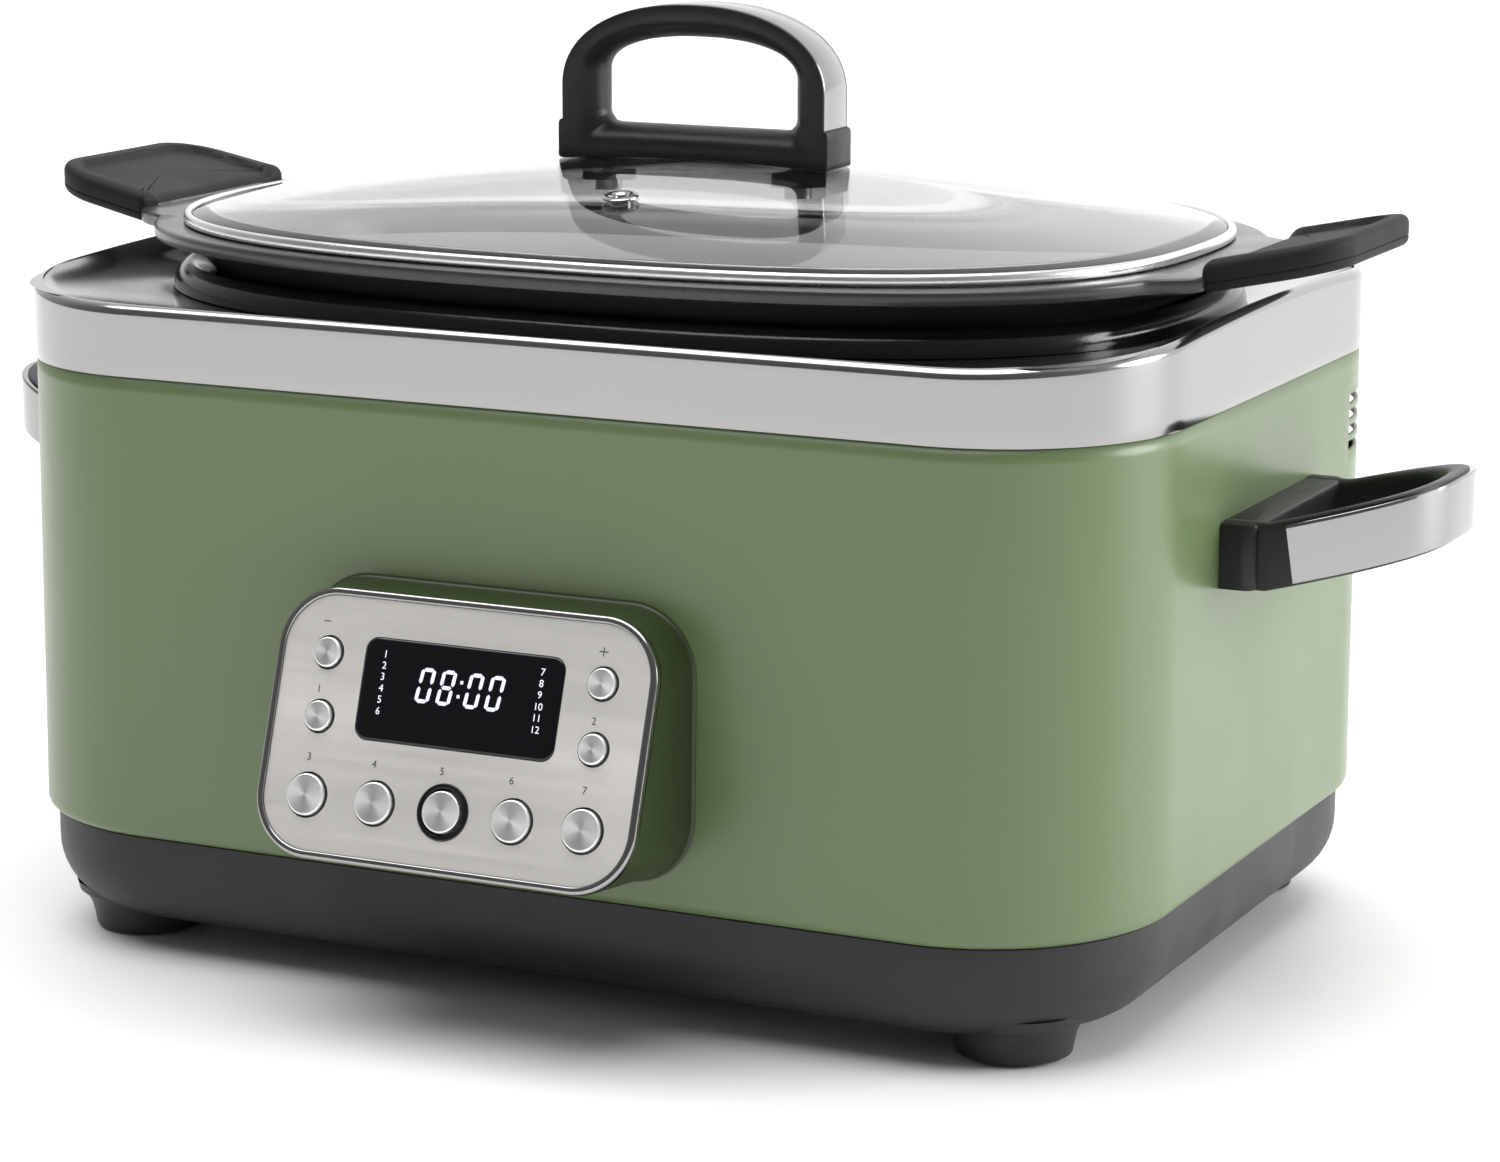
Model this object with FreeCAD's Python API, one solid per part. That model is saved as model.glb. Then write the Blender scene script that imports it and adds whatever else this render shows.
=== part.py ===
import FreeCAD, Part

import math
import os

from FreeCAD import Placement, Rotation, Vector

os.makedirs("parts", exist_ok=True)

# Slow cooker with a lift-out pot and a glass lid.
# Millimetres, +Z up. +X runs along the body to its right-hand handle, and -Y is the
# control panel side. Every piece is drawn about the middle of the body, then moved
# back by FRAME_SHIFT, because the origin is on the floor under the middle of the
# whole appliance, from the panel's bezel to the cord gland.

# ---------------------------------------------------------------- driving dimensions
FRAME_SHIFT = 20.0

BODY_HALF_LENGTH = 200.0
BODY_HALF_DEPTH_LOW = 145.0
BODY_HALF_DEPTH_HIGH = 141.0
BODY_CORNER_LOW = 63.0
BODY_CORNER_HIGH = 60.0
SHELL_BOTTOM = 42.0
SHELL_TOP = 194.2
SHELL_WALL = 1.2
SHELL_EDGE = 4.0
SHELL_TURN_IN = 8.0

BASE_INSET = 3.5
BASE_UNDERSIDE = 9.0
BASE_EDGE = 22.0
BASE_WALL = 2.5
LEG_X, LEG_Y = 158.0, 104.0
LEG_BOTTOM, LEG_TOP = 1.0, 16.0
LEG_RADIUS_LOW, LEG_RADIUS_HIGH = 18.3, 21.5
PAD_RADIUS, PAD_HEIGHT = 15.5, 4.0

VENT_ROWS, VENT_PITCH = 4, 5.3
VENT_BOTTOM, VENT_HEIGHT, VENT_SWEEP = 161.0, 3.4, 52.0

BOARD_Z, BOARD_THICK = 24.0, 1.6
BOARD_X, BOARD_Y = 60.0, 30.0
BOARD_HALF_X, BOARD_HALF_Y = 62.0, 42.0
SCREW_SHANK, SCREW_HEAD = 1.5, 3.6

TRIM_BOTTOM = 194.5
TRIM_PROUD = 0.5
TRIM_WALL = 2.0
TRIM_END_TOP = 223.5
TRIM_FRONT_TOP = 218.0
TRIM_EDGE = 3.0
DISH_EDGE, DISH_MOUTH, DISH_POWER = (190.0, 136.0), (197.5, 138.0), 5.5
TRIM_HOLE = (175.0, 122.3)

RING_POWER = 2.6
COLLAR_X, COLLAR_Y = 180.0, 127.0
COLLAR_SEAT = 213.6
COLLAR_TOP = 222.0
COLLAR_SKIRT = (174.6, 121.9)
COLLAR_BORE = (168.5, 115.5)
WELL_RIM_TOP = 198.8
WELL_WALL = 1.0
WELL_FLOOR = 120.0
WELL_FOOT, WELL_MOUTH, WELL_RIM = (163.0, 110.0), (168.0, 115.0), (174.4, 121.7)
WELL_WINDOW = (125.0, 74.0)
PLATE, PLATE_TOP = (138.0, 86.0), 127.7
SENSOR_RADIUS, SENSOR_GAP = 8.0, 0.8
ELEMENT_RADIUS, ELEMENT_X, ELEMENT_Y = 3.3, 96.0, 48.0
POST_X, POST_Y, POST_RADIUS = 140.0, 66.0, 4.0
SHIELD_Z, SHIELD_DEPTH, SHIELD_WALL = 84.0, 10.0, 0.8

POT_BOTTOM = 128.0
POT_INSIDE_FLOOR = 131.0
FLANGE_X, FLANGE_Y = 187.0, 130.0
FLANGE_BOTTOM, FLANGE_TOP = 230.0, 235.0
EAR_TIP, EAR_HALF_WIDTH = 226.5, 38.0
EAR_BOTTOM, EAR_TOP = 232.0, 235.5
EAR_RISE = 0.21
GRIP_START, GRIP_END = 191.5, 234.5
GRIP_HALF_INNER, GRIP_HALF_OUTER = 46.0, 43.0
GRIP_BOTTOM, GRIP_TOP = 229.6, 239.6
GRIP_BORDER, GRIP_RECESS = 6.5, 1.4

LID_X, LID_Y = 176.0, 125.0
LID_BOTTOM = 235.3
LID_BAND_TOP = 238.4
LID_BAND = 2.8
GLASS_EDGE_LOW, GLASS_EDGE_HIGH = 236.0, 238.6
GLASS_RISE_LOW, GLASS_RISE_HIGH = 17.5, 18.9
KNOB_HALF, KNOB_HALF_WIDTH = 49.6, 9.6
KNOB_STEP = 269.2
ARCH_HALF, ARCH_SPRING, ARCH_APEX, ARCH_POWER = 48.2, 280.0, 308.6, 2.2
STRAP = 2.0
STRAP_HALF_WIDTH = 8.7
WINDOW_HALF, WINDOW_SILL, WINDOW_SPRING, WINDOW_APEX = 35.5, 268.0, 285.5, 297.5
WINDOW_FLARE, WINDOW_FLAT = 4.5, 1.6
LID_SCREW_X = 35.0
VENT_X, VENT_Y = 4.0, -68.0

PANEL_Y, PANEL_Z = -173.9, 97.85
PANEL_TILT = 18.7
PANEL_HALF_WIDTH, PANEL_HALF_HEIGHT, PANEL_CORNER = 66.2, 42.5, 20.0
BEZEL_WIDTH, BEZEL_DEPTH = 2.4, 3.2
POD_REAR, POD_WALL = (67.2, 43.6, 21.5), 2.5
POD_REAR_Y, POD_REAR_Z = -137.0, 94.6
FASCIA_FRONT, FASCIA_BACK = -0.8, -2.2
DISPLAY_HALF_WIDTH, DISPLAY_HALF_HEIGHT, DISPLAY_V = 35.0, 16.15, 12.25
SMALL_BUTTON, LARGE_BUTTON = 5.1, 6.9
BUTTON_GAP = 0.35
SIDE_COLUMN = 48.0
LARGE_PITCH, LARGE_ROW = 24.1, -22.9
BUTTON_PROUD, BUTTON_BACK = 0.9, -7.4
BOARD_FRONT = -12.4

HANDLE_REACH = 64.0
HANDLE_HALF_WIDTH = 45.0
HANDLE_POWER = 2.8
HANDLE_BOTTOM, HANDLE_HEIGHT = 138.5, 21.0
HANDLE_RISE = 0.27
HANDLE_RISE_FROM = 14.0
HANDLE_THICK = 9.0
HANDLE_TRIM = 2.0
HANDLE_TRIM_START = 222.0
BRACKET_DEPTH = 12.0

GLAND_X, GLAND_Z = 60.0, 64.0
GLAND_BORE = 3.7
GLAND_SEAT, GLAND_DEPTH = 144.8, 8.0
GLAND_FLANGE, GLAND_BARREL, GLAND_NUT = 11.0, 7.5, 10.0

BUTTONS = {
    "button_minus": (-SIDE_COLUMN, 21.8, SMALL_BUTTON),
    "button_time_temp": (-SIDE_COLUMN, 1.8, SMALL_BUTTON),
    "button_plus": (SIDE_COLUMN, 21.8, SMALL_BUTTON),
    "button_delay_timer": (SIDE_COLUMN, 1.8, SMALL_BUTTON),
    "button_slow_cook": (-2 * LARGE_PITCH, LARGE_ROW, LARGE_BUTTON),
    "button_keep_warm": (-LARGE_PITCH, LARGE_ROW, LARGE_BUTTON),
    "button_start_stop": (0.0, LARGE_ROW, LARGE_BUTTON),
    "button_sear": (LARGE_PITCH, LARGE_ROW, LARGE_BUTTON),
    "button_more": (2 * LARGE_PITCH, LARGE_ROW, LARGE_BUTTON),
}
START_RING = 8.8


# ---------------------------------------------------------------- outlines and solids
def superellipse(half_x, half_y, z, power=RING_POWER, count=32):
    """Closed smooth wire |x/a|^n + |y/b|^n = 1 at one height."""
    points = []
    for index in range(count):
        angle = 2 * math.pi * index / count
        c, s = math.cos(angle), math.sin(angle)
        reach = (abs(c) ** power + abs(s) ** power) ** (-1 / power)
        points.append(Vector(half_x * reach * c, half_y * reach * s, z))
    curve = Part.BSplineCurve()
    curve.interpolate(Points=points, PeriodicFlag=True)
    return Part.Wire(curve.toShape())


def rounded_rectangle(half_x, half_y, radius, z=0.0, middle_y=0.0):
    """Closed wire of four sides and four quarter circles at one height."""
    diagonal = radius * math.sqrt(0.5)
    edges = []
    corners = [(1, 1), (-1, 1), (-1, -1), (1, -1)]
    for index, (sx, sy) in enumerate(corners):
        cx, cy = sx * (half_x - radius), middle_y + sy * (half_y - radius)
        ends = [Vector(cx + sx * radius, cy, z), Vector(cx, cy + sy * radius, z)]
        if sx != sy:
            ends.reverse()
        middle = Vector(cx + sx * diagonal, cy + sy * diagonal, z)
        edges.append(Part.Arc(ends[0], middle, ends[1]).toShape())
        nx, ny = corners[(index + 1) % 4]
        tx, ty = nx * (half_x - radius), middle_y + ny * (half_y - radius)
        if nx == ny:
            start = Vector(tx + nx * radius, ty, z)
        else:
            start = Vector(tx, ty + ny * radius, z)
        if (start - ends[1]).Length > 1e-6:
            edges.append(Part.LineSegment(ends[1], start).toShape())
    return Part.Wire(edges)


def loft(wires, ruled=True):
    return Part.makeLoft(wires, True, ruled)


def prism(wire, height):
    return Part.Face(wire).extrude(Vector(0, 0, height))


def ring_loft(sections, power=RING_POWER):
    """Solid through superellipse sections given as (half_x, half_y, z)."""
    return loft([superellipse(a, b, z, power) for a, b, z in sections])


def cylinder(radius, height, x=0.0, y=0.0, z=0.0, axis=Vector(0, 0, 1)):
    return Part.makeCylinder(radius, height, Vector(x, y, z), axis)


def box(x0, x1, y0, y1, z0, z1):
    return Part.makeBox(x1 - x0, y1 - y0, z1 - z0, Vector(x0, y0, z0))


def edges_at(shape, test):
    return [edge for edge in shape.Edges if test(edge.BoundBox)]


def rise_outward(shape, slope, start_x):
    """Shear a right-hand piece so that it climbs as it leaves x = start_x."""
    matrix = FreeCAD.Matrix()
    matrix.A31 = slope
    matrix.A34 = -slope * start_x
    return shape.transformGeometry(matrix)


def mirrored(shape):
    return shape.mirror(Vector(0, 0, 0), Vector(1, 0, 0))


def on_panel(shape):
    """Place a piece drawn flat (x right, y up, z outward) on the tilted panel."""
    placed = shape.copy()
    placed.Placement = Placement(
        Vector(0, PANEL_Y, PANEL_Z), Rotation(Vector(1, 0, 0), 90 - PANEL_TILT)
    )
    return placed


def body_outline(z, inset=0.0):
    """The body's rounded rectangle, a little deeper at its foot than at its top."""
    share = (z - SHELL_BOTTOM) / (SHELL_TOP - SHELL_BOTTOM)
    depth = BODY_HALF_DEPTH_LOW + share * (BODY_HALF_DEPTH_HIGH - BODY_HALF_DEPTH_LOW)
    corner = BODY_CORNER_LOW + share * (BODY_CORNER_HIGH - BODY_CORNER_LOW)
    return rounded_rectangle(BODY_HALF_LENGTH - inset, depth - inset, corner - inset, z)


def body_solid(low, high, inset=0.0):
    return loft([body_outline(low, inset), body_outline(high, inset)])


# ---------------------------------------------------------------- base and shell
def base_bowl(inset, floor, edge):
    """Shallow bowl, flat underneath, with a large round where floor meets side."""
    inset += BASE_INSET
    wire = rounded_rectangle(
        BODY_HALF_LENGTH - inset, BODY_HALF_DEPTH_LOW - inset, BODY_CORNER_LOW - inset, floor
    )
    bowl = prism(wire, SHELL_BOTTOM + 1 - floor)
    rim = edges_at(bowl, lambda b: b.ZMax < floor + 0.01)
    return bowl.makeFillet(edge, rim)


def leg_positions():
    return [(sx * LEG_X, sy * LEG_Y) for sx in (-1, 1) for sy in (-1, 1)]


def leg(x, y, inset=0.0, bottom=LEG_BOTTOM):
    low, high = LEG_RADIUS_LOW - inset, LEG_RADIUS_HIGH - inset
    return Part.makeCone(low, high, LEG_TOP - bottom, Vector(x, y, bottom))


def base_shell():
    shell = base_bowl(0, BASE_UNDERSIDE, BASE_EDGE)
    for x, y in leg_positions():
        shell = shell.fuse(leg(x, y))
    shell = shell.cut(base_bowl(BASE_WALL, BASE_UNDERSIDE + BASE_WALL, BASE_EDGE - BASE_WALL))
    for x, y in leg_positions():
        shell = shell.cut(leg(x, y, BASE_WALL, LEG_BOTTOM + PAD_HEIGHT + 1))
        shell = shell.cut(cylinder(PAD_RADIUS + 0.2, PAD_HEIGHT, x, y, LEG_BOTTOM - 1))
    trim = box(-210, 210, -160, 160, SHELL_BOTTOM, SHELL_BOTTOM + 2)
    for x, y in screw_positions():
        boss = cylinder(5, BOARD_Z - BASE_UNDERSIDE - BASE_WALL, x, y, BASE_UNDERSIDE + BASE_WALL)
        shell = shell.fuse(boss)
    for x, y in screw_positions():
        shell = shell.cut(cylinder(1.6, BOARD_Z, x, y, BASE_UNDERSIDE - 1))
        shell = shell.cut(cylinder(3.9, 3, x, y, BASE_UNDERSIDE - 1))
    return shell.cut(trim).removeSplitter()


def screw_positions():
    return [
        (BOARD_X + sx * (BOARD_HALF_X - 7), BOARD_Y + sy * (BOARD_HALF_Y - 7))
        for sx in (-1, 1)
        for sy in (-1, 1)
    ]


def base_screws():
    """Four screws up through the floor into the posts that carry the power board."""
    screws = []
    for x, y in screw_positions():
        head = cylinder(SCREW_HEAD, 1.7, x, y, BASE_UNDERSIDE + 0.3)
        screws.append(head.fuse(cylinder(SCREW_SHANK, 12, x, y, BASE_UNDERSIDE + 2)))
    return Part.makeCompound(screws)


def foot_pad(x, y):
    pad = cylinder(PAD_RADIUS, PAD_HEIGHT, x, y, 0)
    return pad.makeFillet(0.8, edges_at(pad, lambda b: b.ZMax < 0.01))


def vent_slots():
    """Four slots a side, wrapped round each back corner of the shell."""
    slots = []
    centre_y = BODY_HALF_DEPTH_HIGH - BODY_CORNER_HIGH
    centre_x = BODY_HALF_LENGTH - BODY_CORNER_HIGH
    for row in range(VENT_ROWS):
        foot = Vector(centre_x, centre_y, VENT_BOTTOM + VENT_PITCH * row)
        slot = Part.makeCylinder(
            BODY_CORNER_HIGH + 8, VENT_HEIGHT, foot, Vector(0, 0, 1), VENT_SWEEP
        )
        slots += [slot, mirrored(slot)]
    return slots


def outer_shell():
    outside = body_solid(SHELL_BOTTOM, SHELL_TOP)
    foot = edges_at(outside, lambda b: b.ZMax < SHELL_BOTTOM + 0.01)
    outside = outside.makeFillet(SHELL_EDGE, foot)
    floor = SHELL_BOTTOM + SHELL_WALL
    inside = body_solid(floor, SHELL_TOP + 1, SHELL_WALL)
    inside = inside.makeFillet(
        SHELL_EDGE - SHELL_WALL, edges_at(inside, lambda b: b.ZMax < floor + 0.01)
    )
    shell = outside.cut(inside).cut(body_solid(SHELL_BOTTOM - 1, floor + 1, SHELL_TURN_IN))
    for slot in vent_slots():
        shell = shell.cut(slot)
    wire_way = prism(rounded_rectangle(36, 16, 8), 20)
    wire_way.Placement = Placement(Vector(0, -135, 92), Rotation(Vector(1, 0, 0), 90))
    shell = shell.cut(wire_way)
    shell = shell.cut(cylinder(GLAND_BARREL + 0.2, 20, GLAND_X, 135, GLAND_Z, Vector(0, 1, 0)))
    for x, y, z in handle_screw_positions():
        shell = shell.cut(cylinder(2.2, 6, x - 3, y, z, Vector(1, 0, 0)))
        shell = shell.cut(cylinder(2.2, 6, -x - 3, y, z, Vector(1, 0, 0)))
    return shell


def cord_gland():
    """Bush in the rear wall for the mains lead, open right through."""
    inward = GLAND_SEAT - GLAND_DEPTH
    flange = cylinder(GLAND_FLANGE, 3.5, GLAND_X, GLAND_SEAT, GLAND_Z, Vector(0, 1, 0))
    flange = flange.makeFillet(1.2, edges_at(flange, lambda b: b.YMin > GLAND_SEAT + 3.4))
    barrel = cylinder(GLAND_BARREL, GLAND_DEPTH, GLAND_X, inward, GLAND_Z, Vector(0, 1, 0))
    corners = [math.radians(60 * corner) for corner in range(7)]
    nut = prism(Part.makePolygon([
        Vector(GLAND_NUT * math.cos(a), GLAND_NUT * math.sin(a), 0) for a in corners
    ]), 4)
    nut.Placement = Placement(
        Vector(GLAND_X, GLAND_SEAT - 2.4, GLAND_Z), Rotation(Vector(1, 0, 0), 90)
    )
    gland = flange.fuse([barrel, nut])
    return gland.cut(cylinder(GLAND_BORE, 20, GLAND_X, inward - 2, GLAND_Z, Vector(0, 1, 0)))


# ---------------------------------------------------------------- trim, collar and well
def trim_crown(height):
    """Solid under a crown that arches front to back and is lower by `height`."""
    edge_y = BODY_HALF_DEPTH_HIGH - TRIM_EDGE
    half = 170.0
    sag = (TRIM_END_TOP - TRIM_FRONT_TOP) * (half / edge_y) ** 2
    top = TRIM_END_TOP - height
    arc = Part.Arc(
        Vector(-210, -half, top - sag), Vector(-210, 0, top), Vector(-210, half, top - sag)
    ).toShape()
    sides = [
        Part.LineSegment(Vector(-210, half, top - sag), Vector(-210, half, 150)).toShape(),
        Part.LineSegment(Vector(-210, half, 150), Vector(-210, -half, 150)).toShape(),
        Part.LineSegment(Vector(-210, -half, 150), Vector(-210, -half, top - sag)).toShape(),
    ]
    return Part.Face(Part.Wire([arc] + sides)).extrude(Vector(420, 0, 0))


def top_trim():
    """Pressed steel band whose top dips from a rolled outer edge to the collar."""
    outside = loft([body_outline(TRIM_BOTTOM, -TRIM_PROUD), body_outline(232, -TRIM_PROUD)])
    outside = outside.common(trim_crown(0))
    crest = edges_at(outside, lambda b: b.ZMin > TRIM_FRONT_TOP - 3)
    outside = outside.makeFillet(TRIM_EDGE, crest)
    dish = loft([
        superellipse(COLLAR_X + 1, COLLAR_Y + 1, COLLAR_SEAT, RING_POWER),
        superellipse(*DISH_EDGE, 219.0, DISH_POWER),
        superellipse(*DISH_MOUTH, 225.2, DISH_POWER + 1.5),
    ])
    hole = ring_loft([(*TRIM_HOLE, 190), (*TRIM_HOLE, 230)])
    inside = loft([body_outline(190, TRIM_WALL), body_outline(COLLAR_SEAT - 2.2, TRIM_WALL)])
    return outside.cut(dish).cut(hole).cut(inside)


def well_collar():
    """Glossy ring between the steel top and the pot, turned down into the well."""
    crown = ring_loft([
        (COLLAR_X, COLLAR_Y, COLLAR_SEAT),
        (COLLAR_X - 0.3, COLLAR_Y - 0.3, 217),
        (COLLAR_X - 2.3, COLLAR_Y - 2.3, 220.3),
        (COLLAR_X - 5.5, COLLAR_Y - 5.5, COLLAR_TOP),
    ])
    skirt = ring_loft([(*COLLAR_SKIRT, WELL_RIM_TOP), (*COLLAR_SKIRT, COLLAR_SEAT)])
    bore = ring_loft([
        (*COLLAR_BORE, WELL_RIM_TOP - 1),
        (*COLLAR_BORE, 214),
        (170.3, 117.3, 219.5),
        (174.2, 121.2, COLLAR_TOP + 0.1),
    ])
    return crown.fuse(skirt).cut(bore)


def heating_well():
    """Deep-drawn liner: a rim under the collar, a tapered wall and a floor ring."""
    (low_x, low_y), (high_x, high_y) = WELL_FOOT, WELL_MOUTH
    outside = ring_loft([(low_x, low_y, WELL_FLOOR), (high_x, high_y, WELL_RIM_TOP)])
    rim = ring_loft([(*WELL_RIM, WELL_RIM_TOP - 1.2), (*WELL_RIM, WELL_RIM_TOP - 0.1)])
    inside = ring_loft([
        (low_x - WELL_WALL, low_y - WELL_WALL, WELL_FLOOR + WELL_WALL),
        (high_x - WELL_WALL, high_y - WELL_WALL, WELL_RIM_TOP + 0.1),
    ])
    window = ring_loft([(*WELL_WINDOW, WELL_FLOOR - 1), (*WELL_WINDOW, WELL_FLOOR + 2)])
    keep = box(-200, 200, -150, 150, 100, WELL_RIM_TOP)
    return outside.fuse(rim).cut(inside).cut(window).common(keep)


def heating_plate():
    plate = ring_loft([(*PLATE, WELL_FLOOR + 1), (*PLATE, PLATE_TOP)])
    return plate.cut(cylinder(SENSOR_RADIUS + SENSOR_GAP, 20, 0, 0, WELL_FLOOR - 5))


def heating_element():
    """Sheathed element: one oval turn under the plate with two cold ends."""
    z = WELL_FLOOR + 1 - ELEMENT_RADIUS
    path = rounded_rectangle(ELEMENT_X, ELEMENT_Y, 36, z)
    section = Part.Wire(Part.makeCircle(ELEMENT_RADIUS, Vector(0, ELEMENT_Y, z), Vector(1, 0, 0)))
    element = path.makePipeShell([section], True, True)
    for x in (-12, 12):
        element = element.fuse(cylinder(2.2, 22, x, -ELEMENT_Y, z - 22))
    return element


def temperature_sensor():
    cap = cylinder(SENSOR_RADIUS, 4, 0, 0, PLATE_TOP - 4)
    return cap.fuse([cylinder(5, 18, 0, 0, PLATE_TOP - 22), cylinder(9.5, 2, 0, 0, PLATE_TOP - 22)])


def thermal_fuse():
    body = cylinder(3, 18, -60, 0, WELL_FLOOR + 1 - 3, Vector(1, 0, 0))
    leads = cylinder(0.6, 34, -68, 0, WELL_FLOOR + 1 - 3, Vector(1, 0, 0))
    return body.fuse(leads)


def post_positions():
    return [(sx * POST_X, sy * POST_Y) for sx in (-1, 1) for sy in (-1, 1)]


def heat_shield():
    outline = (176.0, 116.0, 50.0)
    inner = [value - SHIELD_WALL for value in outline]
    tray = prism(rounded_rectangle(*outline, SHIELD_Z), SHIELD_DEPTH)
    tray = tray.cut(prism(rounded_rectangle(*inner, SHIELD_Z + SHIELD_WALL), SHIELD_DEPTH))
    for x, y in post_positions():
        tray = tray.cut(cylinder(POST_RADIUS + 0.4, 4, x, y, SHIELD_Z - 1))
    return tray


def well_posts():
    """Four posts that hold the heating well up off the base floor."""
    floor = BASE_UNDERSIDE + BASE_WALL
    height = WELL_FLOOR - floor
    posts = [cylinder(POST_RADIUS, height, x, y, floor) for x, y in post_positions()]
    return Part.makeCompound(posts)


# ---------------------------------------------------------------- electronics in the base
def power_board():
    board = box(
        BOARD_X - BOARD_HALF_X, BOARD_X + BOARD_HALF_X,
        BOARD_Y - BOARD_HALF_Y, BOARD_Y + BOARD_HALF_Y, BOARD_Z, BOARD_Z + BOARD_THICK,
    )
    for x, y in screw_positions():
        board = board.cut(cylinder(1.7, 4, x, y, BOARD_Z - 1))
    return board


def on_board(x0, x1, y0, y1, height):
    top = BOARD_Z + BOARD_THICK
    return box(BOARD_X + x0, BOARD_X + x1, BOARD_Y + y0, BOARD_Y + y1, top, top + height)


def power_transformer():
    core = on_board(-40, -8, -26, 2, 24)
    return core.fuse(on_board(-36, -12, -30, 6, 18))


def power_relay():
    return on_board(6, 26, -28, -12, 16)


def heat_sink():
    sink = on_board(4, 44, 8, 26, 4)
    for fin in range(5):
        sink = sink.fuse(on_board(4 + 9.5 * fin, 6 + 9.5 * fin, 8, 26, 22))
    return sink


def terminal_block():
    block = on_board(-40, -10, 16, 28, 12)
    for way in range(3):
        x = BOARD_X - 35 + 10 * way
        block = block.cut(cylinder(2, 6, x, BOARD_Y + 22, BOARD_Z + 8))
    return block


def control_ribbon():
    """Flat cable from the control board down to the power board."""
    half, thick = 9.0, 1.0
    run_in = box(-half, half, -158, -123, 84, 84 + thick)
    drop = box(-half, half, -124, -123, BOARD_Z + 8, 84)
    run_across = box(-half, half, -124, BOARD_Y - BOARD_HALF_Y - 2, BOARD_Z + 7, BOARD_Z + 8)
    return run_in.fuse([drop, run_across])


# ---------------------------------------------------------------- control panel
def pod_loft(inset):
    """Housing outline: the tilted bezel at the front, an upright outline at the body."""
    front = rounded_rectangle(
        PANEL_HALF_WIDTH - inset, PANEL_HALF_HEIGHT - inset, PANEL_CORNER - inset, -BEZEL_DEPTH
    )
    rear = rounded_rectangle(*[value - inset for value in POD_REAR])
    rear.Placement = Placement(Vector(0, POD_REAR_Y, POD_REAR_Z), Rotation(Vector(1, 0, 0), 90))
    return loft([on_panel(front), rear])


def control_pod():
    pod = pod_loft(0).cut(pod_loft(POD_WALL))
    return pod.cut(body_solid(SHELL_BOTTOM, SHELL_TOP))


def panel_bezel():
    outline = (PANEL_HALF_WIDTH, PANEL_HALF_HEIGHT, PANEL_CORNER)
    outside = prism(rounded_rectangle(*outline, -BEZEL_DEPTH), BEZEL_DEPTH)
    outside = outside.makeFillet(1.0, edges_at(outside, lambda b: b.ZMin > -0.01))
    inner = [value - BEZEL_WIDTH for value in outline]
    hole = prism(rounded_rectangle(*inner, -BEZEL_DEPTH - 1), BEZEL_DEPTH + 2)
    return on_panel(outside.cut(hole))


def panel_fascia():
    reach = BEZEL_WIDTH + 0.15
    outline = [value - reach for value in (PANEL_HALF_WIDTH, PANEL_HALF_HEIGHT, PANEL_CORNER)]
    plate = prism(rounded_rectangle(*outline, FASCIA_BACK), FASCIA_FRONT - FASCIA_BACK)
    hole = prism(
        rounded_rectangle(DISPLAY_HALF_WIDTH, DISPLAY_HALF_HEIGHT, 4.5, FASCIA_BACK - 1, DISPLAY_V), 4
    )
    plate = plate.cut(hole)
    for name, (u, v, radius) in BUTTONS.items():
        opening = START_RING + 0.15 if name == "button_start_stop" else radius + BUTTON_GAP
        plate = plate.cut(cylinder(opening, 4, u, v, FASCIA_BACK - 1))
    return on_panel(plate)


def display_window():
    pane = prism(
        rounded_rectangle(
            DISPLAY_HALF_WIDTH - 0.15, DISPLAY_HALF_HEIGHT - 0.15, 4.35, FASCIA_BACK, DISPLAY_V
        ),
        FASCIA_FRONT - FASCIA_BACK,
    )
    return on_panel(pane)


def display_module():
    half_x, half_y = DISPLAY_HALF_WIDTH - 1.5, DISPLAY_HALF_HEIGHT - 1
    return on_panel(box(-half_x, half_x, DISPLAY_V - half_y, DISPLAY_V + half_y, -9.5, FASCIA_BACK - 0.2))


def control_board():
    return on_panel(box(-57, 57, -33, 33, BOARD_FRONT - 1.6, BOARD_FRONT))


def tact_switches():
    switches = []
    for u, v, radius in BUTTONS.values():
        case = box(u - 3, u + 3, v - 3, v + 3, BOARD_FRONT, BOARD_FRONT + 3.2)
        switches.append(case.fuse(cylinder(1.7, 4.0, u, v, BOARD_FRONT)))
    return on_panel(Part.makeCompound(switches))


def start_button_ring():
    height = FASCIA_FRONT - FASCIA_BACK + 0.4
    ring = cylinder(START_RING, height, 0, LARGE_ROW, FASCIA_BACK)
    return on_panel(ring.cut(cylinder(LARGE_BUTTON + BUTTON_GAP, 4, 0, LARGE_ROW, FASCIA_BACK - 1)))


def button(u, v, radius):
    cap = cylinder(radius, BUTTON_PROUD - BUTTON_BACK, u, v, BUTTON_BACK)
    cap = cap.makeFillet(0.5, edges_at(cap, lambda b: b.ZMin > BUTTON_PROUD - 0.01))
    flange = cylinder(radius + 1.2, 1.2, u, v, FASCIA_BACK - 1.5)
    return on_panel(cap.fuse(flange))


# ---------------------------------------------------------------- side handles
def handle_outline(reach, half_width):
    """Half of |x/reach|^n + |y/half|^n = 1, closed along the body's end."""
    points = []
    for step in range(17):
        angle = math.radians(-90 + 180 * step / 16)
        c, s = max(math.cos(angle), 0.0), math.sin(angle)
        scale = (c**HANDLE_POWER + abs(s) ** HANDLE_POWER) ** (-1 / HANDLE_POWER)
        points.append(Vector(BODY_HALF_LENGTH + reach * scale * c, half_width * scale * s, 0))
    curve = Part.BSplineCurve()
    curve.interpolate(Points=points)
    close = Part.LineSegment(points[-1], points[0]).toShape()
    return Part.Wire([curve.toShape(), close])


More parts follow.
